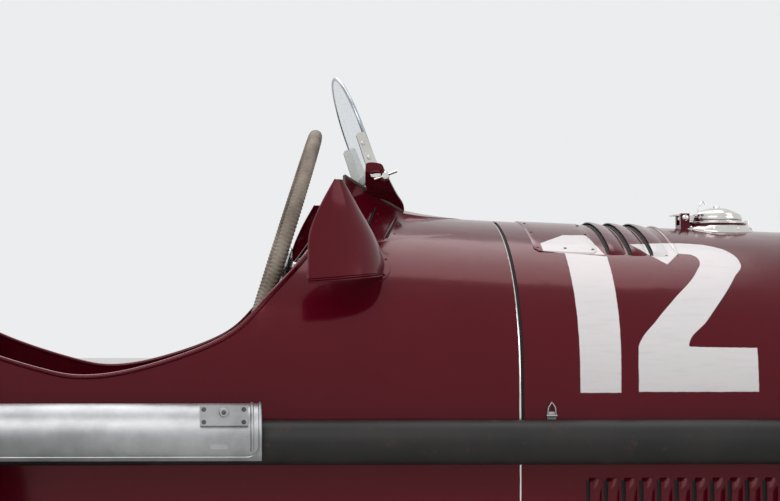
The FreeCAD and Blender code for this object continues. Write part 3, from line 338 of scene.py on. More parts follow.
BODY = paint("body_paint")
NUMBERED = paint("bonnet_paint", True)
ALUMINIUM = metal("satin_aluminium", (150, 151, 153), (178, 179, 180), 0.32, 0.14, (0.15, 1, 1), 0.12)
BRIGHT = metal("bright_metal", (206, 204, 198), (222, 221, 218), 0.10, 0.08, pits=0.05, scratch=0.15)
STEEL = metal("spring_steel", (74, 72, 70), (112, 108, 102), 0.42, 0.2, (0.2, 1, 1), 0.5)
DRUM = metal("drum_aluminium", (138, 138, 137), (170, 169, 166), 0.42, 0.18, pits=0.35)
SILVER = painted("wheel_silver", (168, 168, 168), (138, 136, 132), 0.34, 0.15, (96, 84, 74))
FRAME = painted("frame_paint", (26, 26, 28), (48, 45, 42), 0.42, 0.25, (110, 104, 98))
# DARK is a near black flat paint that stands for shade: in the scuttle seam's gap, in the slot and louvre
# openings, and on the bulkhead seen through the seam.
DARK = painted("dark_inside", (20, 19, 19), (34, 32, 31), 0.7)
PIPE = plain("black_pipe", (13, 12, 12), (30, 27, 26), (7.0, 6.0, 0.65), (0.3, 0.75), (0.38, 0.2), (300.0, 4.0),
             (0.0002, 0.35), ((46.0, 6.0, 0.7), (0.58, 0.72), 0.55, (74, 50, 38), 0.0, 0.2),
             Specular_IOR_Level=0.36)
RUBBER = plain("tyre_rubber", (27, 27, 28), (52, 49, 46), (18.0, 6.0, 0.7), (0.4, 0.8), (0.62, 0.25), (500.0, 4.0),
               (0.0002, 0.4), Specular_IOR_Level=0.35)
WRAP = plain("rim_wrap", (158, 145, 132), (110, 98, 88), (14.0, 5.0, 0.6), (0.35, 0.7), (0.6, 0.15),
             (420.0, 3.0, 0.6), (0.0004, 0.5), Specular_IOR_Level=0.3)
LEATHER, GLASS, DIAL_GLASS = leather(), glass(), glass()
WELT = painted("hood_welt", (92, 78, 68), (66, 54, 46), 0.55, 0.3)
GLASS_EDGE = metal("glass_edge", (150, 156, 162), (178, 184, 190), 0.22, 0.1)
DIAL_FACE = painted("dial_face", (24, 24, 26), (34, 33, 33), 0.45, 0.1)
DIAL_MARKS = painted("dial_marks", (226, 222, 208), (206, 200, 184), 0.5, 0.1)
FINISH_OF_SLOT = {
    "body_paint": BODY, "frame_paint": FRAME, "spring_steel": STEEL, "bare_aluminium": ALUMINIUM,
    "bright_metal": BRIGHT, "black_pipe": PIPE, "drum_aluminium": DRUM, "wheel_silver": SILVER,
    "tyre_rubber": RUBBER, "seat_leather": LEATHER, "rim_wrap": LEATHER, "screen_glass": GLASS,
}
# The slots of finishes that aren't named like their slot. The bulkhead is a real part, but its dark finish is
# painted shade: it shows through the gap at the scuttle seam.
for row in frame["record"]["subparts"]:
    finish = {"bonnet": NUMBERED, "bulkhead": DARK}.get(row["node"], FINISH_OF_SLOT[row["material_slot"]])
    materials = nodes[row["node"]].data.materials
    materials.clear()
    materials.append(finish)


# Ways of making pieces
def settle(name, shape, finish, body="car", smooth=40.0, replaces=None):
    """Puts one mesh, or several joined, into the scene on its body, smooth up to an angle."""
    mesh = shape if isinstance(shape, bpy.types.Mesh) else joined(shape)
    piece = held(mesh, name)
    mesh.materials.clear()
    mesh.materials.append(finish)
    mesh.polygons.foreach_set("material_index", [0] * len(mesh.polygons))
    mesh.shade_smooth()
    mesh.set_sharp_from_angle(angle=math.radians(smooth))
    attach(piece, body)
    if replaces:
        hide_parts(replaces)
    return piece


def baked(holder):
    """The plain mesh of what an object shows. The object goes."""
    made = bpy.data.meshes.new_from_object(holder.evaluated_get(bpy.context.evaluated_depsgraph_get()))
    bpy.data.objects.remove(holder)
    return made


def changed(mesh, kind, **settings):
    """The mesh as one modifier leaves it."""
    holder = held(mesh)
    modifier = holder.modifiers.new("change", kind)
    for key, value in settings.items():
        setattr(modifier, key, value)
    return baked(holder)


def work_on(meshes):
    work = bmesh.new()
    for mesh in meshes:
        work.from_mesh(mesh)
    return work


def mesh_from(work, mesh=None):
    mesh = mesh or bpy.data.meshes.new("piece")
    work.to_mesh(mesh)
    work.free()
    return mesh


def joined(meshes):
    return mesh_from(work_on(meshes))


def ray_tree(meshes):
    work = work_on(meshes)
    tree = BVHTree.FromBMesh(work)
    work.free()
    return tree


def clean(mesh, reach=2e-5):
    """Merges doubles and turns the faces outwards."""
    work = work_on([mesh])
    bmesh.ops.remove_doubles(work, verts=work.verts, dist=reach)
    bmesh.ops.dissolve_degenerate(work, edges=work.edges, dist=reach)
    bmesh.ops.recalc_face_normals(work, faces=work.faces)
    return mesh_from(work, mesh)


def mesh_of(points, faces=()):
    mesh = bpy.data.meshes.new("piece")
    mesh.from_pydata([tuple(p) for p in points], [], faces)
    return clean(mesh) if faces else mesh


def frame_to(centre, axis, side=None):
    """Matrix that takes local Z to axis at centre, and local X near side."""
    z = Vector(axis).normalized()
    y = z.cross(Vector(side or ((1, 0, 0) if abs(z.x) < 0.9 else (0, 1, 0)))).normalized()
    return Matrix.Translation(Vector(centre)) @ Matrix((y.cross(z), y, z)).transposed().to_4x4()


def shares(count, first=0.0, last=1.0):
    """Even steps from first to last, both with it."""
    return [first + (last - first) * i / count for i in range(count + 1)]


def around(count, radius=1.0, first=0.0, last=360.0):
    """Radius times (cosine, sine) at even steps from the first angle up to the last, which is left out."""
    angles = [math.radians(first + (last - first) * i / count) for i in range(count)]
    return [(radius * math.cos(angle), radius * math.sin(angle)) for angle in angles]


def strip(rows, closed_along=False, closed_across=False, ends=False):
    """A surface through rows of points, each row as long as the others."""
    points = [p for row in rows for p in row]
    width = len(rows[0])
    faces = []
    for i in range(len(rows) if closed_along else len(rows) - 1):
        a, b = i * width, (i + 1) % len(rows) * width
        for j in range(width if closed_across else width - 1):
            k = (j + 1) % width
            faces.append((a + j, a + k, b + k, b + j))
    if ends:
        faces += [tuple(range(width)), tuple(len(points) - width + j for j in reversed(range(width)))]
    return mesh_of(points, faces)


def capped(rows):
    """A closed solid through rings of points, with flat ends."""
    return strip(rows, False, True, True)


def lathe(profile, centre=(0, 0, 0), axis=(0, 0, 1), steps=64, closed=False):
    """Spins (radius, height) points about an axis: a closed profile makes a ring, an open one a solid."""
    points = [(radius * c, radius * s, height) for c, s in around(steps) for radius, height in profile]
    count = len(profile)
    faces = []
    for i in range(steps):
        a, b = i * count, (i + 1) % steps * count
        for j in range(count if closed else count - 1):
            k = (j + 1) % count
            faces.append((a + j, b + j, b + k, a + k))
    return moved(mesh_of(points, faces), frame_to(centre, axis))


def tube(points, radius, closed=False, smooth=True, sides=10, radii=None):
    """A round bar along points, with closed ends."""
    data = bpy.data.curves.new("path", "CURVE")
    data.dimensions = "3D"
    data.resolution_u = 8
    spline = data.splines.new("NURBS" if smooth else "POLY")
    spline.points.add(len(points) - 1)
    for i, (point, place) in enumerate(zip(spline.points, points)):
        point.co = (*place, 1.0)
        point.radius = radii[i] if radii else 1.0
    if smooth:
        spline.order_u = min(4, len(points))
        spline.use_endpoint_u = not closed
    spline.use_cyclic_u = closed
    data.bevel_depth = radius
    data.bevel_resolution = max(0, sides // 2 - 2)
    data.use_fill_caps = True
    return clean(baked(held(data)))


def rod(points, radius, sides=10, **more):
    """A round bar with straight runs."""
    return tube(points, radius, smooth=False, sides=sides, **more)


def bar(low, high, round_edge=0.0015):
    """A box with softened edges."""
    work = bmesh.new()
    bmesh.ops.create_cube(work, size=1.0)
    low, high = Vector(low), Vector(high)
    bmesh.ops.scale(work, vec=high - low, verts=work.verts)
    bmesh.ops.translate(work, vec=(low + high) / 2, verts=work.verts)
    bmesh.ops.bevel(work, geom=work.edges, offset=round_edge, segments=2, profile=0.6, affect="EDGES")
    return mesh_from(work)


def moved(mesh, matrix):
    other = mesh.copy()
    other.transform(matrix)
    return other


def mirrored(mesh):
    """The same piece on the car's other side, with its faces still pointing outwards."""
    other = moved(mesh, Matrix.Scale(-1, 4, (0, 1, 0)))
    other.flip_normals()
    return other


def facing(mesh, way, middle=False):
    """A sheet turned so that its first or its middle face looks a given way."""
    if mesh.polygons[len(mesh.polygons) // 2 if middle else 0].normal.dot(Vector(way)) < 0:
        mesh.flip_normals()
    return mesh


def thickened(mesh, depth, offset=-1.0):
    """A sheet given a wall on its inner side."""
    return changed(mesh, "SOLIDIFY", thickness=depth, offset=offset)


# The car's skin, to seat pieces on it
skins = {}
BODYWORK = ("bonnet", "cockpit_tub", "tail_panel", "nose_cowl")
SIDES = ("side_panel_left", "side_panel_right")
TUB, GUARD, COWL, TAIL, BONNET = ((name,) for name in
                                  ("cockpit_tub", "exhaust_guard", "nose_cowl", "tail_panel", "bonnet"))


def skin_tree(names):
    if names not in skins:
        skins[names] = ray_tree([nodes[name].data for name in names])
    return skins[names]


def from_side(x, z, side=-1, names=BODYWORK + SIDES):
    """The place and the outward way of the skin that faces the side at x and z."""
    return skin_tree(names).ray_cast(Vector((x, side * 2.0, z)), Vector((0, -side, 0)))[:2]


def from_above(x, y, names=BODYWORK):
    return skin_tree(names).ray_cast(Vector((x, y, 2.0)), Vector((0, 0, -1)))[:2]


def lifted(hit, lift):
    """A place on the skin, raised along the skin's own way."""
    return hit[0] + hit[1] * lift


# Geometry trees for what repeats
SOCKETS = {"Piece": "Object", "Finish": "Material", "Count": "Int"}
ALIGN = "FunctionNodeAlignRotationToVector"


def geometry_tree(name, labels):
    """A tree with these inputs, which are numbers unless SOCKETS says otherwise."""
    tree = bpy.data.node_groups.new(name, "GeometryNodeTree")
    tree.interface.new_socket("Geometry", in_out="INPUT", socket_type="NodeSocketGeometry")
    for label in labels:
        tree.interface.new_socket(label, in_out="INPUT", socket_type="NodeSocket" + SOCKETS.get(label, "Float"))
    tree.interface.new_socket("Geometry", in_out="OUTPUT", socket_type="NodeSocketGeometry")
    graph = Graph(tree)
    entry = graph.node("NodeGroupInput", out=None)
    return graph, {socket.name: Link(graph, socket) for socket in entry.outputs if socket.name}


def end_tree(graph, geometry, finish):
    """Makes instances real, gives them their finish and ends the tree."""
    real = graph.node("GeometryNodeRealizeInstances", {0: geometry})
    shown = graph.node("GeometryNodeSetMaterial", {"Geometry": real, "Material": finish})
    graph.node("NodeGroupOutput", {0: shown}, None)
    return graph.tree


def run_tree(tree, start, model=None, **values):
    """The plain mesh that a tree makes from a starting mesh, the piece that repeats and named values."""
    holder = held(start)
    if model:
        values["Piece"] = held(model)
    modifier = holder.modifiers.new("tree", "NODES")
    modifier.node_group = tree
    for socket in tree.interface.items_tree:
        label = socket.name.replace(" ", "_")
        if socket.in_out == "INPUT" and label in values:
            modifier[socket.identifier] = values[label]
    made = baked(holder)
    if model:
        bpy.data.objects.remove(values["Piece"])
    return made


def on_points(graph, points, piece, turn, **more):
    sockets = {"Points": points, "Instance": piece, "Rotation": turn, **more}
    return graph.node("GeometryNodeInstanceOnPoints", sockets)


def fastener_tree():
    """Sets one small piece on every point, its foot on the point and its top along the point's own way."""
    graph, given = geometry_tree("fasteners", ["Piece", "Finish"])
    info = graph.node("GeometryNodeObjectInfo", {"Object": given["Piece"]}, "Geometry")
    way, along = (graph.node("GeometryNodeInputNamedAttribute", {"Name": name}, data_type="FLOAT_VECTOR")
                  for name in ("way", "along"))
    first = graph.node(ALIGN, {"Vector": way}, axis="Z")
    turned = graph.node(ALIGN, {"Rotation": first, "Vector": along}, axis="X", pivot_axis="Z")
    return end_tree(graph, on_points(graph, given["Geometry"], info, turned), given["Finish"])


FASTENERS = fastener_tree()


def scattered(piece, spots, finish, along=(1, 0, 0)):
    """A small piece on every (place, way) or (place, way, along) of spots, by the fastener tree."""
    start = mesh_of([s[0] for s in spots])
    for name, number in (("way", 1), ("along", 2)):
        held_ways = start.attributes.new(name, "FLOAT_VECTOR", "POINT")
        held_ways.data.foreach_set("vector", [c for s in spots for c in (*s, along)[number]])
    return run_tree(FASTENERS, start, piece, Finish=finish)


def rivet_head(radius=0.0025, height=0.0012):
    profile = [(0.0, -0.0005), (radius, -0.0005), (radius, 0.0002), (radius * 0.8, height * 0.75), (0.0, height)]
    return lathe(profile, steps=12)


def screw_head(radius, height):
    """A round head with a slot across it."""
    head = lathe([(0.0, -0.001), (radius, -0.001), (radius, height * 0.5), (radius * 0.75, height),
                  (0.0, height * 1.1)], steps=16)
    x, y = radius * 0.85, radius * 0.12
    return joined([head, bar((-x, -y, height * 0.9), (x, y, height * 1.16), 0.0001)])


def bolt_head(across, height):
    """A six sided head on a washer."""
    six = lathe([(0.0, 0.0), (across * 0.577, 0.0), (across * 0.577, height * 0.8), (across * 0.5, height),
                 (0.0, height)], steps=6)
    washer = lathe([(0.0, -0.001), (across * 0.8, -0.001), (across * 0.8, 0.001), (0.0, 0.0015)], steps=20)
    return joined([six, washer])


# Wheels: tyre, rim, hub, spokes, knock-off nut and drum. Radius, width, rim width and axle at each end.
FRONT = (0.370, 0.140, 0.106, (1.580, 0.700))
REAR = (0.395, 0.165, 0.122, (-1.070, 0.675))
BEAD, LIP = 0.241, 0.250
SPOKES, SIPES = 36, 76
# The tread: its share of the width, its rows on each side of the middle, its fall to the edge and its grooves
TREAD_SHARE, TREAD_ROWS, TREAD_FALL, GROOVE = 0.62, 3.5, 0.009, 0.0045
ACROSS = (0, 1, 0)


def arc_through(a, b, c, count):
    """Points of the circle through a, b and c, from a to c."""
    (x1, y1), (x2, y2), (x3, y3) = a, b, c
    d = 2 * (x1 * (y2 - y3) + x2 * (y3 - y1) + x3 * (y1 - y2))
    s1, s2, s3 = (x * x + y * y for x, y in (a, b, c))
    ux = (s1 * (y2 - y3) + s2 * (y3 - y1) + s3 * (y1 - y2)) / d
    uy = (s1 * (x3 - x2) + s2 * (x1 - x3) + s3 * (x2 - x1)) / d
    radius = math.hypot(x1 - ux, y1 - uy)
    start, end = math.atan2(y1 - uy, x1 - ux), math.atan2(y3 - uy, x3 - ux)
    turn = (end - start + math.pi) % (2 * math.pi) - math.pi
    return [(ux + radius * math.cos(angle), uy + radius * math.sin(angle))
            for angle in shares(count, start, start + turn)]


def tyre_profile(radius, width, rim):
    """(radius, height) of the tyre's section, closed, with the ring grooves of the tread."""
    half, bulge, rise = rim / 2 - 0.005, width / 2, radius - BEAD
    tread, edge = bulge * TREAD_SHARE, radius - TREAD_FALL
    middle = BEAD + rise * 0.48
    wall = arc_through((half, LIP), (bulge * 0.94, BEAD + rise * 0.25), (bulge, middle), 8)
    side = wall + arc_through((bulge, middle), (bulge * 0.9, BEAD + rise * 0.8), (tread, edge), 8)[1:]
    outline = [(-half, BEAD), (half, BEAD)] + side
    for y, r in arc_through((tread, edge), (0.0, radius), (-tread, edge), 40)[1:-1]:
        phase = (y / tread) * TREAD_ROWS
        cut = GROOVE if abs(phase - round(phase)) < 0.13 and abs(y) < tread * 0.95 else 0.0
        outline.append((y, r - cut))
    outline += [(-y, r) for y, r in reversed(side)]
    return [(r, y) for y, r in outline]


def tread_tree():
    """A row of tread blocks round the tyre."""
    graph, given = geometry_tree("tread", ["Piece", "Count", "Finish"])
    info = graph.node("GeometryNodeObjectInfo", {"Object": given["Piece"]}, "Geometry")
    angle = graph.node("GeometryNodeInputIndex") * (2 * math.pi) / given["Count"]
    points = graph.node("GeometryNodePoints", {"Count": given["Count"]})
    return end_tree(graph, on_points(graph, points, info, graph.vector(0.0, 0.0 - angle, 0.0)), given["Finish"])


def spoke_tree():
    """One row of spokes from the hub to the rim, in crossing pairs, with a nipple at each outer end."""
    graph, given = geometry_tree("spokes", ["Count", "Hub Radius", "Hub Offset", "Rim Radius", "Rim Offset",
                                            "Lean", "Start", "Thickness", "Finish"])
    index = graph.node("GeometryNodeInputIndex")
    step = index * (2 * math.pi) / given["Count"]
    lean = given["Lean"] * (graph.maths("MODULO", index, 2.0) * 2.0 - 1.0)

    def ring(angle, end):
        radius = given[end + " Radius"]
        return graph.vector(angle.cosine() * radius, given[end + " Offset"], angle.sine() * radius)

    def rods(at, start, end, thickness, **more):
        line = graph.node("GeometryNodeCurvePrimitiveLine", {"Start": (0, 0, start), "End": (0, 0, end)})
        points = graph.node("GeometryNodePoints", {"Count": given["Count"], "Position": at})
        real = graph.node("GeometryNodeRealizeInstances", {0: on_points(graph, points, line, turn, **more)})
        section = graph.node("GeometryNodeCurvePrimitiveCircle", {"Resolution": 6, "Radius": thickness})
        return graph.node("GeometryNodeCurveToMesh", {"Curve": real, "Profile Curve": section, "Fill Caps": True})

    foot = ring(step + given["Start"], "Hub")
    tip = ring(step + given["Start"] + lean, "Rim")
    way = graph.vectors("SUBTRACT", tip, foot)
    turn = graph.node(ALIGN, {"Vector": way}, axis="Z")
    length = graph.vectors("LENGTH", way, out="Value")
    bars = rods(foot, 0, 1, given["Thickness"], Scale=graph.vector(1.0, 1.0, length))
    heads = rods(tip, -0.016, 0, given["Thickness"] * 1.7)
    whole = graph.node("GeometryNodeJoinGeometry", None, None)
    for part in (bars, heads):
        graph.tree.links.new(part.socket, whole.inputs[0])
    return end_tree(graph, Link(graph, whole.outputs[0]), given["Finish"])


TREAD, SPOKE_ROW = tread_tree(), spoke_tree()


def tread_blocks(radius, width):
    """Blocks between the ring grooves, with a slanted front and back."""
    tread = width / 2 * TREAD_SHARE
    reach, length = tread / TREAD_ROWS * 0.36, 2 * math.pi * radius / SIPES * 0.40
    rows = []
    for row in range(-3, 4):
        middle = row * tread / TREAD_ROWS
        lean = 0.004 if row % 2 else -0.004
        top = radius - TREAD_FALL * (middle / tread) ** 2 - 0.0004
        corners = [(way * length - lean * out, reach * out) for way, out in ((-1, -1), (1, -1), (1, 1), (-1, 1))]
        block = capped([[(top - 0.006, middle + b, a) for a, b in corners],
                        [(top, middle + b * 0.93, a * 0.95) for a, b in corners]])
        rows.append(run_tree(TREAD, mesh_of([(0, 0, 0)]), block, Count=SIPES, Finish=RUBBER))
    return rows


def rim_profile(rim):
    half, well = rim / 2, BEAD - 0.015
    outside = [(-half, LIP - 0.001), (-half + 0.001, LIP), (-half + 0.004, LIP), (-half + 0.005, LIP - 0.002),
               (-half + 0.0055, BEAD), (-half + 0.020, BEAD), (-half + 0.028, well)]
    inside = [(-half + 0.026, well - 0.005), (-half + 0.018, BEAD - 0.005), (-half + 0.004, BEAD - 0.006),
              (-half, BEAD - 0.002)]
    points = outside + [(-y, r) for y, r in reversed(outside)] + [(-y, r) for y, r in reversed(inside)] + inside
    return [(r, y) for y, r in points]


HUB = [(0.0, -0.034), (0.064, -0.034), (0.066, -0.032), (0.066, -0.027), (0.060, -0.024), (0.046, -0.018),
       (0.043, 0.010), (0.042, 0.050), (0.046, 0.054), (0.056, 0.056), (0.057, 0.060), (0.055, 0.063),
       (0.044, 0.066), (0.040, 0.070), (0.039, 0.083), (0.0, 0.083)]
NUT = [(0.0, 0.084), (0.044, 0.084), (0.047, 0.087), (0.047, 0.093), (0.043, 0.098), (0.036, 0.104),
       (0.029, 0.109), (0.026, 0.1125), (0.012, 0.114), (0.0, 0.114)]
# The drum with its cooling fins and a closed face
DRUM_PROFILE = [(0.022, -0.036), (0.181, -0.036), (0.187, -0.040)]
for y in [-0.042 - i * 0.0045 for i in range(9)]:
    DRUM_PROFILE += [(0.195, y), (0.195, y - 0.002), (0.1885, y - 0.0025), (0.1885, y - 0.004)]
DRUM_PROFILE += [(0.194, -0.0795), (0.194, -0.083), (0.183, -0.083), (0.183, -0.044), (0.022, -0.044)]


def knock_off_ears():
    """The two winged ears of the nut, waisted and rounded at their tips."""
    ears = []
    for side in (-1, 1):
        rows = []
        for t in shares(8):
            wide = 0.011 * (1 - 0.35 * math.sin(math.pi * t)) * (1.0 if t < 0.9 else 0.75)
            thick = 0.011 - 0.005 * t
            rows.append([(side * (0.028 + 0.067 * t), 0.098 - 0.004 * t + thick * s, wide * c * side)
                         for c, s in around(12)])
        ears.append(capped(rows))
    return ears


def make_wheel(corner, radius, width, rim, axle):
    body = "wheel_" + corner
    side = -1 if corner.endswith("right") else 1
    stand = Matrix.Translation((axle[0], side * axle[1], radius))

    def place(name, meshes, finish, smooth, replaced=None):
        """From the wheel's own middle, outside towards +Y, to its place on the car."""
        whole = joined(meshes)
        settle(name + corner, moved(whole if side > 0 else mirrored(whole), stand), finish, body, smooth,
               replaced and replaced + corner)

    carcass = lathe(tyre_profile(radius, width, rim), axis=ACROSS, steps=128, closed=True)
    place("rubber_", [carcass] + tread_blocks(radius, width), RUBBER, 30, "tyre_")
    place("rim_", [lathe(rim_profile(rim), axis=ACROSS, steps=112, closed=True)], SILVER, 30)
    rows = [run_tree(SPOKE_ROW, mesh_of([(0, 0, 0)]), Count=SPOKES, Hub_Radius=hub_radius, Hub_Offset=hub_offset,
                     Rim_Radius=BEAD - 0.021, Rim_Offset=rim_offset, Lean=math.radians(lean), Start=start,
                     Thickness=0.0021, Finish=SILVER)
            for start, hub_radius, hub_offset, rim_offset, lean in ((0.0, 0.050, 0.0595, 0.010, 26.0),
                                                                    (0.087, 0.061, -0.029, -0.014, 24.0))]
    place("spokes_", rows + [lathe(HUB, axis=ACROSS, steps=48)], SILVER, 35, "wheel_")
    place("knock_off_", [lathe(NUT, axis=ACROSS, steps=40)] + knock_off_ears(), BRIGHT, 35)
    drum = lathe(DRUM_PROFILE, axis=ACROSS, steps=112, closed=True)
    spots = [((x, -0.036, z), ACROSS) for x, z in around(12, 0.150)]
    place("finned_drum_", [drum, scattered(bolt_head(0.010, 0.005), spots, DRUM)], DRUM, 30, "drum_")


for end, size in (("front", FRONT), ("rear", REAR)):
    for hand in ("left", "right"):
        make_wheel(end + "_" + hand, *size)


# Cockpit edge and hood
RIM = [(-0.905, 0.800), (-0.840, 0.738), (-0.747, 0.680), (-0.620, 0.636), (-0.543, 0.625), (-0.450, 0.643),
       (-0.350, 0.683), (-0.290, 0.742), (-0.235, 0.803), (-0.196, 0.862)]
HOOD_SLOTS = [((-0.1290, 0.874), (-0.1430, 0.846)), ((-0.0950, 0.860), (-0.1170, 0.826))]
HOOD_RIVETS = ((-0.1313, 0.8652), (-0.1358, 0.8533), (-0.1010, 0.8490), (-0.1095, 0.8330))
FLARE_REAR, CREASE_END, FLARE_FRONT = -0.1760, -0.0850, 0.0300
SHEET = 0.0020


def smooth_line(points, per=8, closed=False):
    """Points of an even curve that goes through all the given ones."""
    known = [Vector(p) for p in points]
    count = len(known)
    line = []
    for i in range(count if closed else count - 1):
        a = known[(i - 1) % count] if closed or i > 0 else known[0]
        b, c = known[i], known[(i + 1) % count]
        d = known[(i + 2) % count] if closed or i + 2 < count else known[-1]
        for t in (k / per for k in range(per)):
            line.append(0.5 * ((2 * b) + (c - a) * t + (2 * a - 5 * b + 4 * c - d) * t * t
                               + (3 * b - a - 3 * c + d) * t ** 3))
    return line if closed else line + [known[-1]]


def cockpit_edge():
    """The rolled edge of the cockpit, along both sides, behind the head and under the hood."""
    right = []
    for point in smooth_line([(x, 0, z) for x, z in RIM], 6):
        place = from_side(point.x, point.z - 0.003, -1, TUB)[0]
        if place is not None:
            right.append(Vector((point.x, place.y + 0.0012, point.z)))
    ahead, behind = right[-1].y, right[0].y
    front = [Vector((-0.1935 + 0.010 * (1 - abs(y / ahead)), y, from_above(-0.180, y, TUB)[0].z - 0.001))
             for y in (ahead * (1 - 2 * i / 10) for i in range(1, 10))]
    left = [Vector((p.x, -p.y, p.z)) for p in reversed(right)]
    back = [Vector((-0.9055, y, from_above(-0.9085, y, TUB + TAIL)[0].z - 0.001))
            for y in (-behind * (1 - 2 * i / 12) for i in range(1, 12))]
    return tube(right + front + left + back, 0.0036, closed=True)


settle("cockpit_edge", cockpit_edge(), BODY)


def crease_at(x):
    """The crease of the hood at x."""
    if x <= CREASE_END:
        share = (x + 0.1695) / (CREASE_END + 0.1695)
        return Vector((x, 0.116 - 0.039 * share, 0.9186 - 0.0472 * share))
    late = (x - CREASE_END) / (FLARE_FRONT - CREASE_END)
    return on_scuttle(x, 0.077 * (1 - late ** 1.6), late)


def on_scuttle(x, y, late):
    """A point over the scuttle's skin; the hood sinks into it from 0 to 1 of late."""
    lift = 0.0004 + 0.0100 * (1 - late) ** 2 - 0.0012 * late ** 8
    return Vector((x, y, from_above(x, y, TUB)[0].z + lift))


def flare_point(side, along, t):
    """A point of the hood: along from its rear edge to its front, t from its crease down to the body's skin."""
    x = FLARE_REAR + (FLARE_FRONT - FLARE_REAR) * along
    crease = crease_at(x)
    foot_y = 0.200 - 0.060 * along
    foot, way = from_above(x, side * foot_y, TUB)
    foot = Vector((x, foot_y, foot.z + 0.0005))
    inward = Vector((0, -1, abs(way.y) / way.z)).normalized()
    steep = max(0.0, 1 - max(0.0, (x + 0.10) / 0.13))
    leave = Vector((0, 0.007, -0.026)) * steep + Vector((0, 0.030, -0.006)) * (1 - steep)
    point = (crease * (1 - t) ** 3 + (crease + leave) * 3 * t * (1 - t) ** 2
             + (foot + inward * 0.040) * 3 * t * t * (1 - t) + foot * t ** 3)
    late = min(1.0, max(0.0, (along - 0.45) / 0.55))
    calm = late * late * (3 - 2 * late)
    skin = from_above(x, side * point.y, TUB)[0].z + 0.0005 - 0.0012 * max(t, along) ** 10
    height = max(point.z, skin) if t < 1 else skin
    return Vector((x, side * point.y, height + (skin - height) * calm * (t if late < 1 else 1)))


def make_hood():
    """The flared sides under the screen, with a welt along each crease and along the rear edges."""
    sheets, welts = [], []
    crease = [crease_at(x) for x in shares(12, FLARE_REAR, CREASE_END)]
    for side in (-1, 1):
        rows = [[flare_point(side, along, down) for down in shares(14)] for along in shares(24)]
        sheet = facing(strip(rows), (0, side, 0))
        skins["hood", side] = ray_tree([sheet])
        sheets.append(thickened(sheet, SHEET))
        welts += [rod([Vector((p.x, side * p.y, p.z)) for p in crease], 0.0025), rod(rows[0], 0.0024)]
    top = []
    for late in shares(12):
        x = CREASE_END + (FLARE_FRONT - CREASE_END) * late
        top.append([on_scuttle(x, crease_at(x).y * k / 8, late) for k in range(-8, 9)])
    sheets.append(thickened(facing(strip(top), (0, 0, 1)), SHEET))
    settle("hood_flares", sheets, BODY, smooth=60, replaces="scuttle_hood")
    settle("hood_welt", welts, WELT)


def hood_trim():
    """The slots of the hood as dark sheets on the skin, which paint the shade of their openings, with their
    pressed lips, and rivets beside them.
    """
    dark, lips, heads = [], [], []
    for side in (-1, 1):
        hood = ("hood", side)
        for (xa, za), (xb, zb) in HOOD_SLOTS:
            line, rear = [], []
            for t in shares(6):
                x, z = xa + (xb - xa) * t, za + (zb - za) * t
                hit = from_side(x, z, side, hood)
                behind = from_side(x - 0.0048, z - 0.002, side, hood)
                if hit[0] is not None and behind[0] is not None:
                    line.append([lifted(hit, 0.0005) + Vector((dx, 0, 0.5 * dx)) for dx in (-0.0018, 0.0018)])
                    rear.append(lifted(behind, 0.0010))
            dark.append(thickened(strip(line), 0.0008, 0.0))
            lips.append(rod(rear, 0.0024, radii=[0.4, 0.9, 1.0, 1.0, 1.0, 0.9, 0.4][:len(rear)]))
        heads += [from_side(x + 0.006, z, side, hood) for x, z in HOOD_RIVETS]
    # Painted shade: dark sheets standing for the slot openings.
    settle("hood_slots", dark, DARK)
    settle("hood_slot_lips", lips, BODY)
    heads = [hit for hit in heads if hit[0] is not None]
    settle("hood_rivets", scattered(rivet_head(0.0020, 0.0010), heads, BODY), BODY)


make_hood()
hood_trim()

# Aero screen: the pane's outline, standing at its lean
SCREEN_BASE = Vector((-0.130, 0.0, 0.925))
SCREEN_LEAN = math.radians(20.0)
SCREEN_HALF, SCREEN_SIDE, SCREEN_HEIGHT, SCREEN_THICK = 0.150, 0.066, 0.169, 0.006
STUD_X, STUD_Z = -0.118, 0.919
CLAMP = [(-0.1435, 0.9300), (-0.1598, 0.9800), (-0.1585, 0.9835), (-0.1545, 0.9852), (-0.1490, 0.9848),
         (-0.1468, 0.9828), (-0.1265, 0.9330), (-0.1220, 0.9200), (-0.1260, 0.9160), (-0.1380, 0.9180)]


def on_pane(depth, inset):
    """The pane's outline, inset from its edge, at a depth through its thickness."""
    half, rise = SCREEN_HALF - inset, SCREEN_HEIGHT - SCREEN_SIDE - inset
    arch = [(half * math.cos(turn), SCREEN_SIDE + rise * math.sin(turn)) for turn in shares(40, 0, math.pi)]
    c, s = math.cos(SCREEN_LEAN), math.sin(SCREEN_LEAN)
    outline = [(half, 0.0)] + arch + [(-half, 0.0)]
    return [SCREEN_BASE + Vector((depth * c - up * s, y, depth * s + up * c)) for y, up in outline]


def make_screen():
    pane = capped([on_pane(depth, 0.0016) for depth in (0.0012, SCREEN_THICK - 0.0012)])
    settle("screen_pane", pane, GLASS, smooth=60, replaces="aero_screen")
    foot = bar((-0.0002, -SCREEN_HALF + 0.002, 0.0), (SCREEN_THICK + 0.0005, SCREEN_HALF - 0.002, 0.012), 0.0008)
    turn = Matrix.Translation(SCREEN_BASE) @ Matrix.Rotation(-SCREEN_LEAN, 4, "Y")
    settle("screen_edging", [rod(on_pane(SCREEN_THICK / 2, 0.0026), 0.0030), moved(foot, turn)], GLASS_EDGE)


def wing_nut(place, side):
    """Two thin wings on a round boss, on the end of the stud."""
    parts = [lathe([(0.0, 0.0), (0.0075, 0.0), (0.0070, 0.008), (0.0050, 0.0115), (0.0, 0.012)], steps=20)]
    for turn in (-1, 1):
        parts.append(capped([[(turn * (0.004 + 0.014 * t), 0.0018 * s,
                               0.007 + 0.006 * t + (0.0055 - 0.002 * t) * c * turn)
                              for c, s in around(10)] for t in shares(6)]))
    return moved(joined(parts), frame_to(place, (0, side, 0), (0.94, 0, 0.34)))


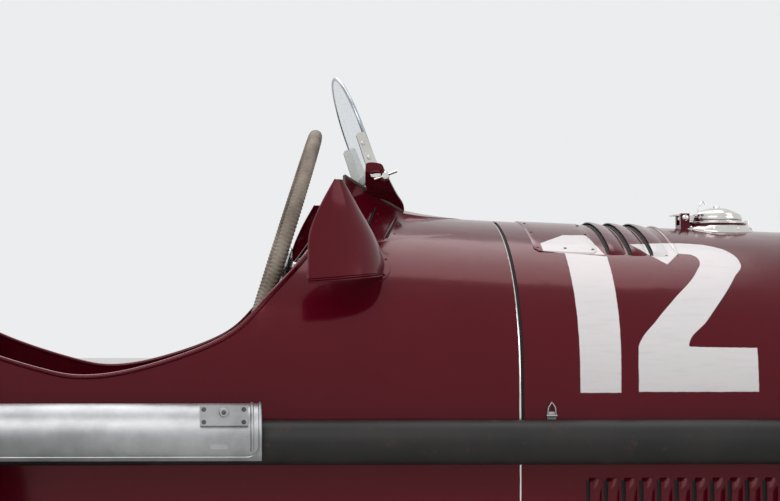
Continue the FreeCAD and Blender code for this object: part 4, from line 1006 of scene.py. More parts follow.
def make_clamps():
    pieces = []
    for side in (-1, 1):
        out = (0, side, 0)
        for inner, outer in ((0.138, 0.1415), (0.1505, 0.154)):
            pieces.append(capped([[(x, side * y, z) for x, z in CLAMP] for y in (inner, outer)]))
        stud = [(0.0, 0.130), (0.005, 0.130), (0.005, 0.158), (0.0, 0.160)]
        pieces += [lathe(stud, (STUD_X, 0, STUD_Z), out, 20), wing_nut((STUD_X, side * 0.154, STUD_Z), side)]
        pieces += [moved(rivet_head(0.0034, 0.0018), frame_to((x, side * 0.154, z), out))
                   for x, z in ((-0.150, 0.968), (-0.141, 0.947))]
    settle("screen_clamp_plates", pieces, BRIGHT, replaces="screen_clamps")


# The bracket under the screen: the outline of its cheek, its distance from the middle by height, its front's x
CHEEK = [(-0.1460, 0.9130), (-0.1470, 0.9300), (-0.1437, 0.9387), (-0.1244, 0.9372), (-0.1180, 0.9275),
         (-0.1080, 0.9120), (-0.0950, 0.8960), (-0.0828, 0.8809), (-0.0840, 0.8690), (-0.1050, 0.8720),
         (-0.1288, 0.8850), (-0.1400, 0.8990)]
CHEEK_Y = ((0.860, 0.880, 0.895, 0.908, 0.918, 0.930, 0.945), (0.066, 0.080, 0.100, 0.130, 0.150, 0.1570, 0.1580))
FRONT_X = ((0.864, 0.881, 0.896, 0.912, 0.930), (-0.0835, -0.0835, -0.0955, -0.1085, -0.1190))
CHEEK_X, CHEEK_Z = -0.117, 0.905


def at_height(z, table):
    return float(np.interp(z, *table))


def make_fairing():
    """A cheek on each side that opens out upwards, and a bowed front between them."""
    pieces = []
    outline = smooth_line([(x, z, 0) for x, z in CHEEK], 4, True)
    for side in (-1, 1):
        rows = []
        for share in (0.0, 0.3, 0.6, 0.85, 1.0):
            row = [(CHEEK_X + (p.x - CHEEK_X) * share, CHEEK_Z + (p.y - CHEEK_Z) * share) for p in outline]
            rows.append([(x, side * at_height(z, CHEEK_Y), z) for x, z in row])
        pieces.append(thickened(strip(rows, closed_across=True), 0.0030, 0.0))
    front = []
    for z in shares(14, FRONT_X[0][0], 0.920):
        x, reach = at_height(z, FRONT_X) - 0.0045, at_height(z, CHEEK_Y) - 0.001
        front.append([(x + 0.006 * math.cos(math.pi / 2 * k / 10), reach * k / 10, z) for k in range(-10, 11)])
    pieces.append(thickened(strip(front), 0.0030, 0.0))
    settle("screen_bracket", pieces, BODY, smooth=50, replaces="screen_fairing")


make_screen()
make_clamps()
make_fairing()

# Steering wheel: a wrapped rim on four sprung arms
WHEEL_CENTRE = Vector((-0.277, 0.0, 0.794))
COLUMN_TILT = math.radians(17.5)
COLUMN_WAY = Vector((math.cos(COLUMN_TILT), 0, -math.sin(COLUMN_TILT)))
WHEEL_RADIUS, RIM_THICK = 0.208, 0.0106
TURNS, STEPS_PER_TURN, RIM_SIDES = 216, 6, 12
BOSS = [(0.0, -0.004), (0.010, -0.004), (0.012, -0.002), (0.014, 0.001), (0.024, 0.002), (0.030, 0.004),
        (0.031, 0.008), (0.031, 0.017), (0.028, 0.020), (0.020, 0.023), (0.011, 0.026), (0.0105, 0.094),
        (0.0, 0.095)]


def wrapped_rim():
    """The rim as a ring with turns of cord wound round it."""
    rows = []
    for i, (along_c, along_s) in enumerate(around(TURNS * STEPS_PER_TURN)):
        ring = []
        for k, (c, s) in enumerate(around(RIM_SIDES)):
            groove = abs(math.sin(math.pi * (i / STEPS_PER_TURN + 0.5 * k / RIM_SIDES)))
            thick = RIM_THICK * (0.90 + 0.10 * groove)
            reach = WHEEL_RADIUS + thick * c
            ring.append((reach * along_c, reach * along_s, thick * s))
        rows.append(ring)
    return moved(strip(rows, True, True), frame_to(WHEEL_CENTRE, COLUMN_WAY))


def wheel_arms():
    pieces = []
    for y, up in around(4, 1.0, 45, 405):
        way = Vector((math.sin(COLUMN_TILT) * up, y, math.cos(COLUMN_TILT) * up))
        across = COLUMN_WAY.cross(way)
        for k in (-1.5, -0.5, 0.5, 1.5):
            foot = WHEEL_CENTRE + COLUMN_WAY * 0.012 + way * 0.024 + across * k * 0.0072
            tip = WHEEL_CENTRE + way * (WHEEL_RADIUS - 0.006) + across * k * 0.0100
            pieces.append(rod([foot, tip], 0.0019, 8))
        for reach, wide in ((0.075, 0.0150), (0.150, 0.0185)):
            middle = WHEEL_CENTRE + COLUMN_WAY * (0.012 * (1 - reach / WHEEL_RADIUS)) + way * reach
            pieces.append(rod([middle - across * wide, middle + across * wide], 0.0024, 8))
    return pieces


settle("wrapped_rim", wrapped_rim(), WRAP, "steering_wheel", 60, "steering_wheel")
to_boss = frame_to(WHEEL_CENTRE, -COLUMN_WAY)
spots = [(to_boss @ Vector((x, y, -0.0022)), -COLUMN_WAY) for x, y in around(6, 0.022)]
bolts = scattered(bolt_head(0.006, 0.003), spots, BRIGHT, ACROSS)
settle("wheel_arms_and_boss", wheel_arms() + [lathe(BOSS, WHEEL_CENTRE, COLUMN_WAY, 40), bolts], BRIGHT,
       "steering_wheel", 35)

# Bodywork details
SEAM_X, BODY_MIDDLE, MOUTH_MIDDLE = 0.0690, 0.560, 0.600
LOUVRE_STEP, LOUVRE_Z = 0.025, 0.436


def round_the_body(x, centre, names, first, last, count, lift=0.0):
    """Places on the skin all round a crosswise section, by angles in degrees from the left side over the top."""
    line = []
    middle = Vector((x, 0, centre))
    for angle in shares(count, first, last):
        way = Vector((0, math.cos(math.radians(angle)), math.sin(math.radians(angle))))
        place, normal, *_ = skin_tree(names).ray_cast(middle + way * 2.0, -way)
        if place is not None and (place - middle).dot(way) > 0:
            line.append(place + normal * (lift if normal.dot(way) > 0 else -lift))
    return line


def at_x(x, line):
    return [Vector((x, p.y, p.z)) for p in line]


scuttle_line = round_the_body(SEAM_X, BODY_MIDDLE, BODYWORK + SIDES, -52, 232, 110, -0.0014)
settle("scuttle_bead", tube(at_x(0.0580, scuttle_line), 0.0019, sides=8), BRIGHT)
# Dark sheets under the seam at both sides: painted shade in the gap between bonnet and scuttle.
gap_shades = []
for first, last in ((-52, -1), (181, 232)):
    behind = round_the_body(SEAM_X, BODY_MIDDLE, BODYWORK + SIDES, first, last, 24, -0.0052)
    gap_shades.append(thickened(strip([at_x(0.0475, behind), at_x(SEAM_X, behind)]), 0.0006, 0.0))
settle("scuttle_backing", gap_shades, DARK)
for name, x, names, first, last in (("cowl_bead", 1.572, COWL, -8, 188), ("tail_bead", -0.939, TAIL, -30, 210)):
    settle(name, tube(round_the_body(x, BODY_MIDDLE, names, first, last, 60), 0.0020, sides=8), BODY)
mouth = round_the_body(1.7400, MOUTH_MIDDLE, COWL, 0, 355, 71, -0.0020)
settle("mouth_lip", tube(at_x(1.7445, mouth), 0.0042, closed=True, sides=12), BODY)


def grille_blades():
    """Upright blades across the mouth, in a hoop that two rails hold to the radiator."""
    ring = round_the_body(1.7080, MOUTH_MIDDLE, COWL, 0, 355, 71, -0.0080)
    pieces = [tube(at_x(1.7080, ring), 0.0042, closed=True, sides=8)]
    outline = ray_tree([strip([at_x(1.70, ring), at_x(1.72, ring)], closed_across=True)])
    for k in range(-10, 11):
        y = 0.0175 * k
        middle = Vector((1.71, y, MOUTH_MIDDLE))
        top, low = (outline.ray_cast(middle, Vector((0, 0, way)))[0] for way in (1, -1))
        if top is not None and low is not None:
            pieces.append(bar((1.7000, y - 0.0020, low.z), (1.7160, y + 0.0020, top.z), 0.0008))
    for z in (0.545, 0.665):
        pieces.append(tube([(1.7000, -0.150, z), (1.7000, 0.150, z)], 0.0030, sides=8))
        pieces += [tube([(1.6580, y, z), (1.7000, y, z)], 0.0040, sides=8) for y in (-0.120, 0.120)]
    return pieces


settle("grille_blades", grille_blades(), ALUMINIUM)

# Rows of the left side guard from its foot up: front, middle and rear point of each
DEFLECTOR = [
    ((-0.1330, 0.234, 0.7740), (-0.1530, 0.3140, 0.7690), (-0.2410, 0.3470, 0.7610)),
    ((-0.1303, 0.239, 0.7890), (-0.1545, 0.3085, 0.7870), (-0.2400, 0.3400, 0.7860)),
    ((-0.1450, 0.252, 0.8250), (-0.1650, 0.3000, 0.8250), (-0.2370, 0.3260, 0.8250)),
    ((-0.1680, 0.270, 0.8650), (-0.1820, 0.2940, 0.8650), (-0.2210, 0.3090, 0.8650)),
    ((-0.1910, 0.286, 0.9020), (-0.1940, 0.2900, 0.9028), (-0.2000, 0.2940, 0.9030)),
]
GUARD_FOOT = (-0.1415, 0.7830)


def through(a, b, c, count):
    """Points of a parabola through three points."""
    return [a * ((1 - t) * (1 - 2 * t)) + b * (4 * t * (1 - t)) + c * (t * (2 * t - 1))
            for t in shares(count)]


def beside(line, dy, dz=0.0):
    return [p + Vector((0, dy, dz)) for p in line]


def foot_place(radius, angle):
    """The skin at a distance and an angle from the middle of the guard's foot."""
    turn = math.radians(angle)
    return from_side(GUARD_FOOT[0] + radius * math.cos(turn), GUARD_FOOT[1] + radius * math.sin(turn), 1, TUB)


def deflector():
    """The curved side guard of the cockpit on the left: its wall, rolled edges, foot on the body and screws."""
    columns = [smooth_line([level[k] for level in DEFLECTOR], 6) for k in range(3)]
    rows = [through(a, b, c, 18) for a, b, c in zip(*columns)]
    foot = strip([[lifted(foot_place(radius, angle), lift)
                   for radius, lift in ((0.012, 0.0016), (0.018, 0.0016), (0.0245, 0.0016), (0.0250, 0.0002))]
                  for angle in shares(14, -75, 60)])
    heads = [foot_place(0.0205, angle) for angle in (-45, 25)]
    screws = [(lifted(hit, 0.0016), hit[1]) for hit in heads]
    return joined([
        thickened(facing(strip(rows), (0, 1, 0), True), 0.0025),
        rod(beside(rows[0], -0.001, -0.0014), 0.0021), rod(beside(rows[0][1:], 0.0015, -0.0048), 0.0013),
        rod(beside([row[-1] for row in rows], -0.0012), 0.0019),
        rod(beside([row[0] for row in rows[3:]], -0.0012), 0.0019),
        thickened(facing(foot, (0, 1, 0)), 0.0012),
        scattered(screw_head(0.0021, 0.0010), screws, BODY, (0.6, 0, 0.8))])


guard = deflector()
settle("cockpit_side_guards", [guard, mirrored(guard)], BODY, smooth=45, replaces="wind_deflectors")


def louvre_blister(length=0.094, width=0.017, height=0.0065):
    """One pressed louvre: closed in front, open behind, run out at both ends."""
    rows = []
    for t in shares(10, -1, 1):
        rise = height * max(0.0, 1 - abs(t) ** 5) ** 0.5
        rows.append([(width * (0.62 - s), t * length / 2, -0.0006 + rise * math.sin(s * math.pi * 0.46))
                     for s in shares(5)])
    return thickened(strip(rows), 0.0008)


def along_sides(piece, first, finish):
    """A small piece on each place of the louvres on both side panels."""
    spots = [from_side(first + LOUVRE_STEP * i, LOUVRE_Z, side, SIDES) for side in (-1, 1) for i in range(34)]
    return scattered(piece, spots, finish)


# The dark bars under the side louvres are painted shade, standing for their openings.
opening = bar((-0.0075, -0.0430, -0.0006), (0.0060, 0.0430, 0.0004), 0.0002)
settle("side_louvres", along_sides(louvre_blister(), 0.161, BODY), BODY, smooth=50)
settle("louvre_mouths", along_sides(opening, 0.158, DARK), DARK)

# The bonnet's raised hatch, from and to in x and half its width, and the mouths of its louvres
HATCH, HATCH_RISE, HATCH_CORNER = (0.100, 0.194, 0.188), 0.0016, 0.009
LOUVRES = (0.212, 0.244, 0.276)
LOUVRE_HALF, RIB_X = 0.190, 0.313


def on_bonnet(x, y, lift):
    return lifted(from_above(x, y, BONNET), lift)


def hatch_row(y, inset, near, top):
    """Points over the hatch at y. near and top are shares of its height, next to its edges and inside."""
    a, b = HATCH[0] + inset, HATCH[1] - inset
    marks = [(a, 0.0), (a + 0.0004, near), (a + 0.0014, top)]
    marks += [(a + (b - a) * k / 6, top) for k in range(1, 6)]
    marks += [(b - 0.0014, top), (b - 0.0004, near), (b, 0.0)]
    return [on_bonnet(x, y, HATCH_RISE * share if share else -0.0008) for x, share in marks]


def make_hatch():
    """The raised plate across the bonnet behind its louvres, with round corners and edges."""
    half = HATCH[2]
    rows = []
    for i in range(49):
        y = half * (-1 + i / 24)
        past = max(0.0, abs(y) - half + HATCH_CORNER)
        inset = HATCH_CORNER - math.sqrt(max(0.0, HATCH_CORNER ** 2 - past ** 2))
        edge = 0.0 if i in (0, 48) else 1.0
        rows.append(hatch_row(y, inset, 0.75 * edge, edge))
    rows.insert(1, hatch_row(-half + 0.0006, 0.0057, 0.75, 0.9))
    rows.insert(-1, hatch_row(half - 0.0006, 0.0057, 0.75, 0.9))
    return strip(rows)


def open_louvre(mouth, length=0.025, rise=0.0055):
    """A wide louvre pressed up out of the bonnet, open behind, run out to the skin in front and at its ends."""
    rows = []
    for t in shares(60, -1, 1):
        end = max(0.0, 1 - abs(t) ** 30) ** 0.5
        rows.append([on_bonnet(mouth + length * s, LOUVRE_HALF * t,
                               rise * end * math.cos(s * math.pi / 2) ** 0.8 - 0.0004) for s in shares(6)])
    return thickened(facing(strip(rows), (0, 0, 1), True), 0.0014)


def louvre_floor(mouth):
    """A dark sheet under a louvre of the bonnet: painted shade where its opening is."""
    rows = [[on_bonnet(mouth + dx, y, 0.0004) for y in shares(40, -0.187, 0.187)]
            for dx in (-0.0045, 0.012, 0.021)]
    return thickened(strip(rows), 0.0006, 0.0)


def hatch_rivets():
    """Rivets round the raised hatch of the bonnet."""
    spots = []
    for side in (-1, 1):
        spots += [(x, side * 0.178) for x in (0.106, 0.147, 0.188)]
        spots += [(x, side * y) for y in (0.06, 0.12) for x in (0.106, 0.188)]
    spots = [(on_bonnet(x, y, HATCH_RISE), from_above(x, y, BONNET)[1]) for x, y in spots]
    return scattered(rivet_head(0.0024, 0.0010), spots, BODY)


def raised_rib():
    """The low pressed rib in front of the bonnet's louvres."""
    places = shares(40, -1, 1)
    return tube([on_bonnet(RIB_X, LOUVRE_HALF * t, -0.0016) for t in places], 0.0044,
                radii=[min(1.0, 0.35 + 4 * (1 - abs(t))) for t in places])


def bonnet_catches():
    """A small wire loop and its plate, low on both sides behind the bonnet's rear edge."""
    loop = [(-0.0060, -0.0040, 0.0024), (0.0060, -0.0040, 0.0024), (0.0046, 0.0080, 0.0030), (0.0, 0.0150, 0.0034),
            (-0.0046, 0.0080, 0.0030)]
    whole = joined([bar((-0.0065, -0.0090, 0.0000), (0.0065, 0.0020, 0.0016), 0.0006),
                    rod(loop, 0.0013, 8, closed=True),
                    rod([(-0.0075, -0.0040, 0.0024), (0.0075, -0.0040, 0.0024)], 0.0018, 8)])
    hits = [from_side(0.102, 0.574, side) for side in (-1, 1)]
    return [moved(whole, frame_to(place, way, Vector((0, 0, 1)).cross(way))) for place, way in hits]


def edge_rivets():
    spots = []
    for side in (-1, 1):
        low = [from_side(-0.880 + 0.0415 * i, 0.338, side) for i in range(58)]
        spots += [hit for hit in low if hit[0] is not None and hit[0].y * side > 0.1]
        seam = [from_side(x, 0.36 + 0.0225 * i, side) for i in range(20) for x in (-0.925, -0.948)]
        spots += [hit for hit in seam if hit[0] is not None]
    return scattered(rivet_head(0.0026, 0.0009), spots, BODY)


settle("bonnet_hatch", make_hatch(), NUMBERED, "bonnet", 50)
settle("bonnet_louvres", [open_louvre(x) for x in LOUVRES], NUMBERED, "bonnet", 50)
# Painted shade under the bonnet's louvres, in place of their openings.
settle("bonnet_louvre_mouths", [louvre_floor(x) for x in LOUVRES], DARK, "bonnet")
settle("hatch_rivets", hatch_rivets(), BODY, "bonnet")
settle("bonnet_rib", raised_rib(), NUMBERED, "bonnet")
settle("bonnet_catches", bonnet_catches(), ALUMINIUM, "bonnet")
settle("edge_rivets", edge_rivets(), BODY)

# Exhaust, its guard and its flanges
PIPE_Y, PIPE_Z, STUB_Z = -0.350, 0.536, 0.536
GUARD_FRONT, GUARD_LOW, GUARD_CORNER, PLATE_Y = -0.326, 0.5185, 0.017, -0.397
OUTWARD, AHEAD, UP = (0, -1, 0), (1, 0, 0), (0, 0, 1)


def guard_details():
    """The guard's pressed line and its corner, the beads at its front end, its clamp block and a knob."""
    def on_guard(x, z):
        return lifted(from_side(x, z, -1, GUARD), 0.0002)

    corner = [on_guard(GUARD_FRONT + s, GUARD_LOW + GUARD_CORNER - c) for c, s in around(8, GUARD_CORNER, 0, 90)]
    corner.append(on_guard(GUARD_FRONT + GUARD_CORNER, GUARD_LOW + GUARD_CORNER))
    pieces = [rod([on_guard(-0.996, GUARD_LOW), on_guard(GUARD_FRONT, GUARD_LOW)], 0.0013, 8),
              tube(corner, 0.0013, sides=8)]
    for x in (-0.3082, -0.3190):
        pieces.append(tube([(x, PIPE_Y + c, 0.546 + s) for c, s in around(24, 0.0436, 205, 85)], 0.0026))
    block = [(PLATE_Y, 0.562), (PLATE_Y, 0.589), (-0.355, 0.587), (-0.386, 0.562)]
    pieces.append(capped([[(x, y, z) for y, z in block] for x in (-0.390, -0.325)]))
    knob = [(0.0, -0.004), (0.0065, -0.004), (0.0065, 0.0030), (0.0052, 0.0042), (0.0, 0.0042)]
    return pieces + [lathe(knob, (-0.3575, PLATE_Y, 0.580), OUTWARD, 28)]


def guard_screws():
    spots = [((x, PLATE_Y, z), OUTWARD, (0.5, 0, 0.8)) for x in (-0.3845, -0.3305) for z in (0.5670, 0.5840)]
    return scattered(screw_head(0.0031, 0.0016), spots + [((-0.3575, -0.401, 0.580), OUTWARD)], STEEL)


def stub_flanges():
    collar = lathe([(0.0188, -0.001), (0.0290, -0.001), (0.0290, 0.0022), (0.0255, 0.0040), (0.0188, 0.0045)],
                   steps=36, closed=True)
    weld = lathe([(0.0188, 0.0000), (0.0225, 0.0012), (0.0228, 0.0040), (0.0188, 0.0065)], steps=28, closed=True)
    collars, welds, bolts = [], [], []
    for x in (0.400 + 0.088 * i for i in range(8)):
        y = from_side(x + 0.032, STUB_Z, -1, SIDES)[0].y
        collars.append(((x, y - 0.0005, STUB_Z), OUTWARD))
        welds.append(((x, -0.3255, STUB_Z), ACROSS))
        bolts += [((x, y - 0.0032, STUB_Z + z), OUTWARD) for z in (-0.0245, 0.0245)]
    return [scattered(piece, spots, PIPE) for piece, spots in
            ((collar, collars), (weld, welds), (bolt_head(0.0062, 0.0032), bolts))]


def pipe_bands():
    """Clamps that hold the long pipe, the rolled lip of its open end and the domed cover of its front."""
    lip = [(0.0282, -0.004), (0.0324, -0.004), (0.0330, 0.000), (0.0324, 0.004), (0.0282, 0.004)]
    dome = [(0.0314, -0.006), (0.0314, 0.0), (0.0290, 0.0060), (0.0225, 0.0115), (0.0120, 0.0148), (0.0, 0.0158)]
    clamp = [(0.0305, -0.010), (0.0326, -0.010), (0.0332, -0.008), (0.0332, 0.008), (0.0326, 0.010),
             (0.0305, 0.010)]
    pieces = [lathe(profile, (x, PIPE_Y, PIPE_Z), AHEAD, 48, closed) for profile, x, closed in
              ((lip, -1.6360, True), (dome, 1.0750, False), (clamp, -1.360, True), (clamp, -1.060, True))]
    return pieces + [bar((x - 0.009, -0.356, 0.498), (x + 0.009, -0.344, 0.506), 0.001) for x in (-1.360, -1.060)]


settle("guard_beading", guard_details(), ALUMINIUM)
settle("guard_screws", guard_screws(), STEEL)
settle("stub_flanges", stub_flanges(), PIPE)
settle("pipe_bands", pipe_bands(), PIPE)


# Filler necks and caps: screws, hinge ends, wire hook and clip
def neck_details(x, top):
    """The sloping flange of a filler, its screws, hinge ends, clip, lip and the lever behind the hinge."""
    rows, screws = [], []
    for i, (c, s) in enumerate(around(48, 1.0, 3.75, 363.75)):
        way = Vector((c, s, 0))
        foot = from_above(x + 0.0565 * c, 0.0565 * s)[0]
        rim = Vector((x, 0, top + 0.0070)) + way * 0.0462
        shoulder = foot + Vector((0, 0, 0.0014)) - way * 0.0006
        rows.append([foot - Vector((0, 0, 0.0008)), shoulder, rim, rim - way * 0.0012])
        if i % 6 == 3:
            screws.append((shoulder.lerp(rim, 0.42), (rim - shoulder).cross(Vector((s, -c, 0)))))
    pieces = [strip(rows, closed_along=True), scattered(screw_head(0.0026, 0.0012), screws, BRIGHT, UP),
              bar((x + 0.0440, -0.0060, top + 0.001), (x + 0.0500, 0.0060, top + 0.0150), 0.0012),
              lathe([(0.0455, 0.009), (0.0475, 0.010), (0.0475, 0.012), (0.0455, 0.0128)], (x, 0, top), UP, 56,
                    True)]
    hinge = Vector((x - 0.054, 0, top + 0.019))
    lever = [bar((-0.0180, -0.0130, 0.0032), (-0.0090, 0.0130, 0.0056), 0.0008)]
    for side in (-1, 1):
        near, far = sorted((side * 0.0105, side * 0.0130))
        lever.append(bar((-0.0100, near, 0.0034), (-0.0020, far, 0.0054), 0.0006))
        lever.append(moved(screw_head(0.0050, 0.0022), frame_to((0, side * 0.0185, 0), (0, side, 0))))
    return pieces + [moved(part, Matrix.Translation(hinge)) for part in lever]


def cap_details(x, top):
    """The rolled brim of a cap, its step, its wire hook and the nib on its middle."""
    brim = [(0.0368, 0.0145), (0.0392, 0.0150), (0.0400, 0.0175), (0.0392, 0.0205), (0.0368, 0.0212)]
    step = [(0.0330, 0.0238), (0.0352, 0.0238), (0.0350, 0.0256), (0.0330, 0.0262)]
    nib = [(0.0, 0.0335), (0.0060, 0.0335), (0.0048, 0.0385), (0.0, 0.0392)]
    hook = ((0.030, 0.028), (0.027, 0.040), (0.0235, 0.0465), (0.019, 0.0455), (0.018, 0.041))
    return [lathe(brim, (x, 0, top), UP, 72, True), lathe(step, (x, 0, top), UP, 64, True),
            tube([(x - back, 0, top + up) for back, up in hook], 0.0011, sides=8),
            lathe(nib, (x, 0, top), UP, 24)]


for name, x, top, body in (("bonnet", 0.421, 0.846, "bonnet"), ("tail", -1.180, 0.868, "car")):
    settle(name + "_neck_trim", neck_details(x, top), BRIGHT, body)
    settle(name + "_cap_trim", cap_details(x, top), BRIGHT, name + "_cap")

# Instruments: y, z, radius, highest figure and needle's angle of each
DIAL_X, DIAL_BACK = -0.1945, -0.186
DIALS = [(0.0, 0.825, 0.037, 8, 0.35), (-0.092, 0.800, 0.026, 6, -0.4), (0.092, 0.800, 0.026, 6, 0.8),
         (-0.158, 0.757, 0.024, 4, -0.9), (0.158, 0.757, 0.024, 4, 0.1)]
TO_DRIVER = (-1, 0, 0)


def dial_way(angle):
    """The way from a dial's middle at an angle from its top, as the driver sees it."""
    return Vector((0, -math.sin(angle), math.cos(angle)))


def scale_ways(count):
    """The ways of evenly spaced marks on a dial's scale."""
    return [dial_way(math.radians(angle)) for angle in shares(count, -135, 135)]


def figure(number, size):
    text = bpy.data.curves.new("figure", "FONT")
    text.body, text.size, text.extrude = str(number), size, 0.0001
    text.align_x = text.align_y = "CENTER"
    return baked(held(text))


def dial_marks():
    """Marks, numbers and a needle on each dial."""
    pieces = []
    tick = bar((-0.0022, -0.0004, 0.0), (0.0022, 0.0004, 0.0003), 0.0001)
    for y, z, radius, numbers, reading in DIALS:
        middle = Vector((DIAL_X, y, z))
        reach = radius - 0.0075
        spots = [(middle + way * reach, TO_DRIVER, way) for way in scale_ways(numbers * 5)]
        pieces.append(scattered(tick, spots, DIAL_MARKS))
        for i, way in enumerate(scale_ways(numbers)):
            place = middle + way * (reach - radius * 0.24) + Vector((-0.0002, 0, 0))
            pieces.append(moved(figure(i, radius * 0.22), frame_to(place, TO_DRIVER, (0, -1, 0))))
        needle = [dial_way(reading + turn) * length for turn, length in
                  ((0, reach * 0.92), (1.57, 0.0011), (math.pi, 0.007), (-1.57, 0.0011))]
        pieces += [capped([[middle + p + Vector((depth, 0, 0)) for p in needle] for depth in (-0.0009, -0.0005)]),
                   lathe([(0.0, 0.0), (0.0022, 0.0), (0.0020, 0.0012), (0.0, 0.0014)], middle, TO_DRIVER, 20)]
    return pieces


def dial_rings(profile, x=DIAL_X, steps=56, closed=False):
    """One round part of every dial. Its profile has (radius past the dial's own, height); None is the middle."""
    return [lathe([(0.0 if past is None else radius + past, up) for past, up in profile], (x, y, z), TO_DRIVER,
                  steps, closed) for y, z, radius, *_ in DIALS]


drums = dial_rings([(None, -0.0010), (0, -0.0010), (0, 0.0078), (None, 0.0078)], DIAL_BACK, 64)
settle("gauge_drums", drums, ALUMINIUM)
settle("dial_faces", dial_rings([(None, -0.0008), (-0.0030, -0.0008), (-0.0030, 0.0), (None, 0.0)]), DIAL_FACE)
settle("dial_marks", dial_marks(), DIAL_MARKS)
settle("dial_bezels", dial_rings([(-0.0042, 0.0005), (0.0008, 0.0005), (0.0010, 0.0030), (-0.0005, 0.0055),
                                  (-0.0030, 0.0052), (-0.0042, 0.0035)], DIAL_X, 64, True), BRIGHT)
lenses = dial_rings([(None, 0.0030), (-0.0035, 0.0022), (-0.0035, 0.0032), (None, 0.0042)])
settle("dial_lenses", lenses, DIAL_GLASS)

# Seat
SEAT_LOW, SEAT_HIGH = (-0.786, -0.197, 0.3735), (-0.452, 0.197, 0.4340)
BACK_FOOT = (Vector((-0.8440, 0, 0.440)), Vector((-0.8000, 0, 0.440)))
BACK_HEAD = (Vector((-0.8690, 0, 0.772)), Vector((-0.8240, 0, 0.764)))
PAD_INSET, BACK_HALF = 0.006, 0.190
PLEATS, PLEAT_DEPTH, PLEAT_SOFT = 9, 0.0065, 0.006
VOXEL, MOST_SWELL, CLOTH_FRAMES = 0.006, 0.006, 20


def cushion_shell(place, across=44, along=30, depth=4):
    """A closed box of soft leather, from place(u, v, w) with all three running from 0 to 1."""
    work = bmesh.new()
    known = {}

    def vertex(i, j, k):
        if (i, j, k) not in known:
            known[i, j, k] = work.verts.new(place(i / across, j / along, k / depth))
        return known[i, j, k]

    def sheet(count_a, count_b, pick):
        for a in range(count_a):
            for b in range(count_b):
                work.faces.new([pick(a, b), pick(a + 1, b), pick(a + 1, b + 1), pick(a, b + 1)])

    for level in (0, depth):
        sheet(across, along, lambda a, b, k=level: vertex(a, b, k))
    for level in (0, along):
        sheet(across, depth, lambda a, b, j=level: vertex(a, j, b))
    for level in (0, across):
        sheet(along, depth, lambda a, b, i=level: vertex(i, a, b))
    bmesh.ops.recalc_face_normals(work, faces=work.faces)
    return mesh_from(work)


def blown_up(mesh):
    """The shell stuffed by cloth pressure. No point moves further than MOST_SWELL."""
    even = changed(mesh, "REMESH", mode="VOXEL", voxel_size=VOXEL)
    start = [v.co.copy() for v in even.vertices]
    holder = held(even)
    cloth = holder.modifiers.new("cloth", "CLOTH")
    cloth.settings.use_pressure = True
    cloth.settings.uniform_pressure_force = 4.0
    cloth.settings.effector_weights.gravity = 0.0
    for step in range(1, CLOTH_FRAMES + 1):
        scene.frame_set(step)
    full = baked(holder)
    scene.frame_set(1)
    for vertex, first in zip(full.vertices, start):
        move = vertex.co - first
        if move.length > MOST_SWELL:
            vertex.co = first + move * (MOST_SWELL / move.length)
    return full


def stitched(mesh, on_show, inwards):
    """Presses the sewn lines into the side of a pad that shows."""
    for vertex in mesh.vertices:
        distance = pleat_distance(vertex.co.y) if on_show(vertex.co) else 1.0
        vertex.co = vertex.co + Vector(inwards) * (PLEAT_DEPTH * math.exp(-(distance / PLEAT_SOFT) ** 2))
    return mesh


def pleat_distance(y):
    """How far the nearest seam is."""
    step = 2 * BACK_HALF / PLEATS
    place = (y + BACK_HALF) / step
    nearest = round(place)
    return abs(place - nearest) * step if 1 <= nearest <= PLEATS - 1 else 1.0


def base_place(u, v, w):
    (x0, y0, z0), (x1, y1, z1) = SEAT_LOW, SEAT_HIGH
    crown = 0.007 * (1 - (2 * u - 1) ** 2) * (1 - (2 * v - 1) ** 4)
    return Vector((x0 + PAD_INSET + (x1 - x0 - 2 * PAD_INSET) * v,
                   y0 + PAD_INSET + (y1 - y0 - 2 * PAD_INSET) * u,
                   z0 + 0.004 + (z1 - z0 - 0.018 + crown) * w))


def back_place(u, v, w):
    at = BACK_FOOT[0].lerp(BACK_FOOT[1], w).lerp(BACK_HEAD[0].lerp(BACK_HEAD[1], w), v)
    return Vector((at.x + (0.003 - 0.006 * w), (2 * u - 1) * BACK_HALF * (1 - 0.07 * v ** 3), at.z + 0.003))


def make_pad(name, place, on_show, inwards):
    pad = stitched(blown_up(cushion_shell(place)), on_show, inwards)
    pad = changed(pad, "SMOOTH", factor=0.5, iterations=2)
    return settle(name, changed(pad, "SUBSURF", levels=1, render_levels=1), LEATHER, smooth=80)


base_piece = make_pad("seat_base", base_place, lambda co: co.z > 0.405, (0, 0, -1))
back_piece = make_pad("seat_back", back_place, lambda co: co.x > -0.824 - 0.024 * (co.z - 0.440) / 0.330,
                      (-1, 0, -0.1))
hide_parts("seat_cushions")

# Springs, axles and steering: bolts, clips and pins. Each spring's middle, half length, camber and foot.
FRONT_SPRING = (1.580, 0.242, 0.384, 0.315, 0.045)
REAR_SPRING = (-1.070, 0.345, 0.355, 0.310, 0.0435)
DAMPERS = ((-0.850, 0.346, 0.452, 0.038), (1.700, 0.296, 0.474, 0.034))
EYES = ((1.265, 0.262, 0.4255), (1.895, 0.262, 0.4255), (-1.380, 0.365, 0.395), (-0.760, 0.365, 0.395))
AXLE_BOLTS = (-1.012, 0.395, 0.0912)
CLIP_REACH, STAR_POINTS = 0.160, 6


def u_bolt(a, b, low, arch, radius=0.0045):
    """A bent rod over a beam: legs from low up to arch, with nuts under them. a and b are (x, y) of its legs."""
    middle = ((a[0] + b[0]) / 2, (a[1] + b[1]) / 2)
    line = [(*a, low), (*a, arch - 0.012), (*a, arch), (*middle, arch + 0.002), (*b, arch), (*b, arch - 0.012),
            (*b, low)]
    nuts = [moved(bolt_head(0.015, 0.008), frame_to((*leg, low + 0.010), (0, 0, -1))) for leg in (a, b)]
    return [tube(line, radius, sides=8)] + nuts


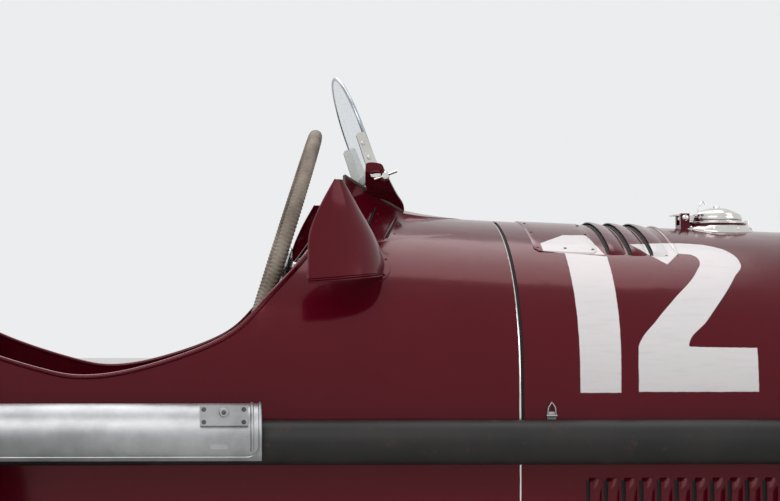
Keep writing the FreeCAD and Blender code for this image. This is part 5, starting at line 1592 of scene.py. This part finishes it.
def spring_clips():
    """A clip round the leaves, ahead of and behind each spring's middle."""
    clips = []
    for side in (-1, 1):
        for x, y, z, half, camber in (FRONT_SPRING, REAR_SPRING):
            radius = (half ** 2 + camber ** 2) / (2 * camber)
            foot = z + radius - math.sqrt(radius ** 2 - CLIP_REACH ** 2)
            clip = bar((-0.008, -0.0235, -0.0230), (0.008, 0.0235, 0.0022), 0.002)
            places = [(x + dx, side * y, foot) for dx in (-CLIP_REACH, CLIP_REACH)]
            clips += [moved(clip, Matrix.Translation(place)) for place in places]
    return clips


def spring_bolts():
    """The bent bolts and plates that hold the springs to their axles."""
    bolts = []
    axle = REAR_SPRING[0]
    for side in (-1, 1):
        y = side * FRONT_SPRING[1]
        for x in (1.551, 1.609):
            bolts += u_bolt((x, y - 0.0375), (x, y + 0.0375), 0.328, 0.404)
        bolts.append(bar((1.536, y - 0.044, 0.3330), (1.624, y + 0.044, 0.3375)))
        for y in (0.350, 0.361):
            bolts += u_bolt((axle - 0.0465, side * y), (axle + 0.0465, side * y), 0.312, 0.4405)
        y = side * REAR_SPRING[1]
        bolts.append(bar((-1.130, y - 0.026, 0.3170), (-1.010, y + 0.026, 0.3262)))
    return bolts


def eye_nuts():
    """Nuts on the spring eyes and the dampers."""
    spots = [((x, side * (y + 0.0004), z), (0, side, 0)) for side in (-1, 1)
             for x, y, z in EYES + tuple(damper[:3] for damper in DAMPERS)]
    return scattered(bolt_head(0.019, 0.009), spots, STEEL)


def damper_stars():
    """The star springs on the faces of the four friction dampers."""
    pieces = []
    for side in (-1, 1):
        for x, y, z, radius in DAMPERS:
            waves = [0.80 + 0.20 * c for c, s in around(60, 1.0, 0, 360 * STAR_POINTS)]
            ring = [(c * wave, s * wave) for (c, s), wave in zip(around(60, radius), waves)]
            rows = [[(share * a, share * b, up) for a, b in ring] for share, up in
                    ((0.99, -0.001), (1.0, 0.0015), (0.55, 0.0040))]
            pieces.append(moved(capped(rows), frame_to((x, side * y, z), (0, side, 0))))
    return pieces


def king_nuts(side):
    spots = [((x, side * 0.575, z), (0, 0, way)) for x, z, way in
             ((1.580, 0.421, 1), (1.580, 0.319, -1), (1.430, 0.333, 1))]
    return scattered(bolt_head(0.018, 0.008), spots, STEEL)


def axle_bolts():
    """The bolted rim of the rear axle's middle."""
    x, z, radius = AXLE_BOLTS
    flange = [(0.0840, -0.006), (0.0980, -0.006), (0.0980, 0.006), (0.0840, 0.006)]
    spots = [((x + 0.006, c, z + s), AHEAD, UP) for c, s in around(10, radius)]
    return [lathe(flange, (x, 0, z), AHEAD, 48, True), scattered(bolt_head(0.0085, 0.005), spots, STEEL)]


settle("spring_bolts", spring_bolts(), STEEL)
settle("spring_clips", spring_clips(), STEEL)
settle("eye_nuts", eye_nuts(), STEEL)
settle("damper_stars", damper_stars(), STEEL)
for side, name in ((1, "left"), (-1, "right")):
    settle("kingpin_nuts_" + name, king_nuts(side), STEEL, "knuckle_" + name)
settle("axle_bolts", axle_bolts(), STEEL)
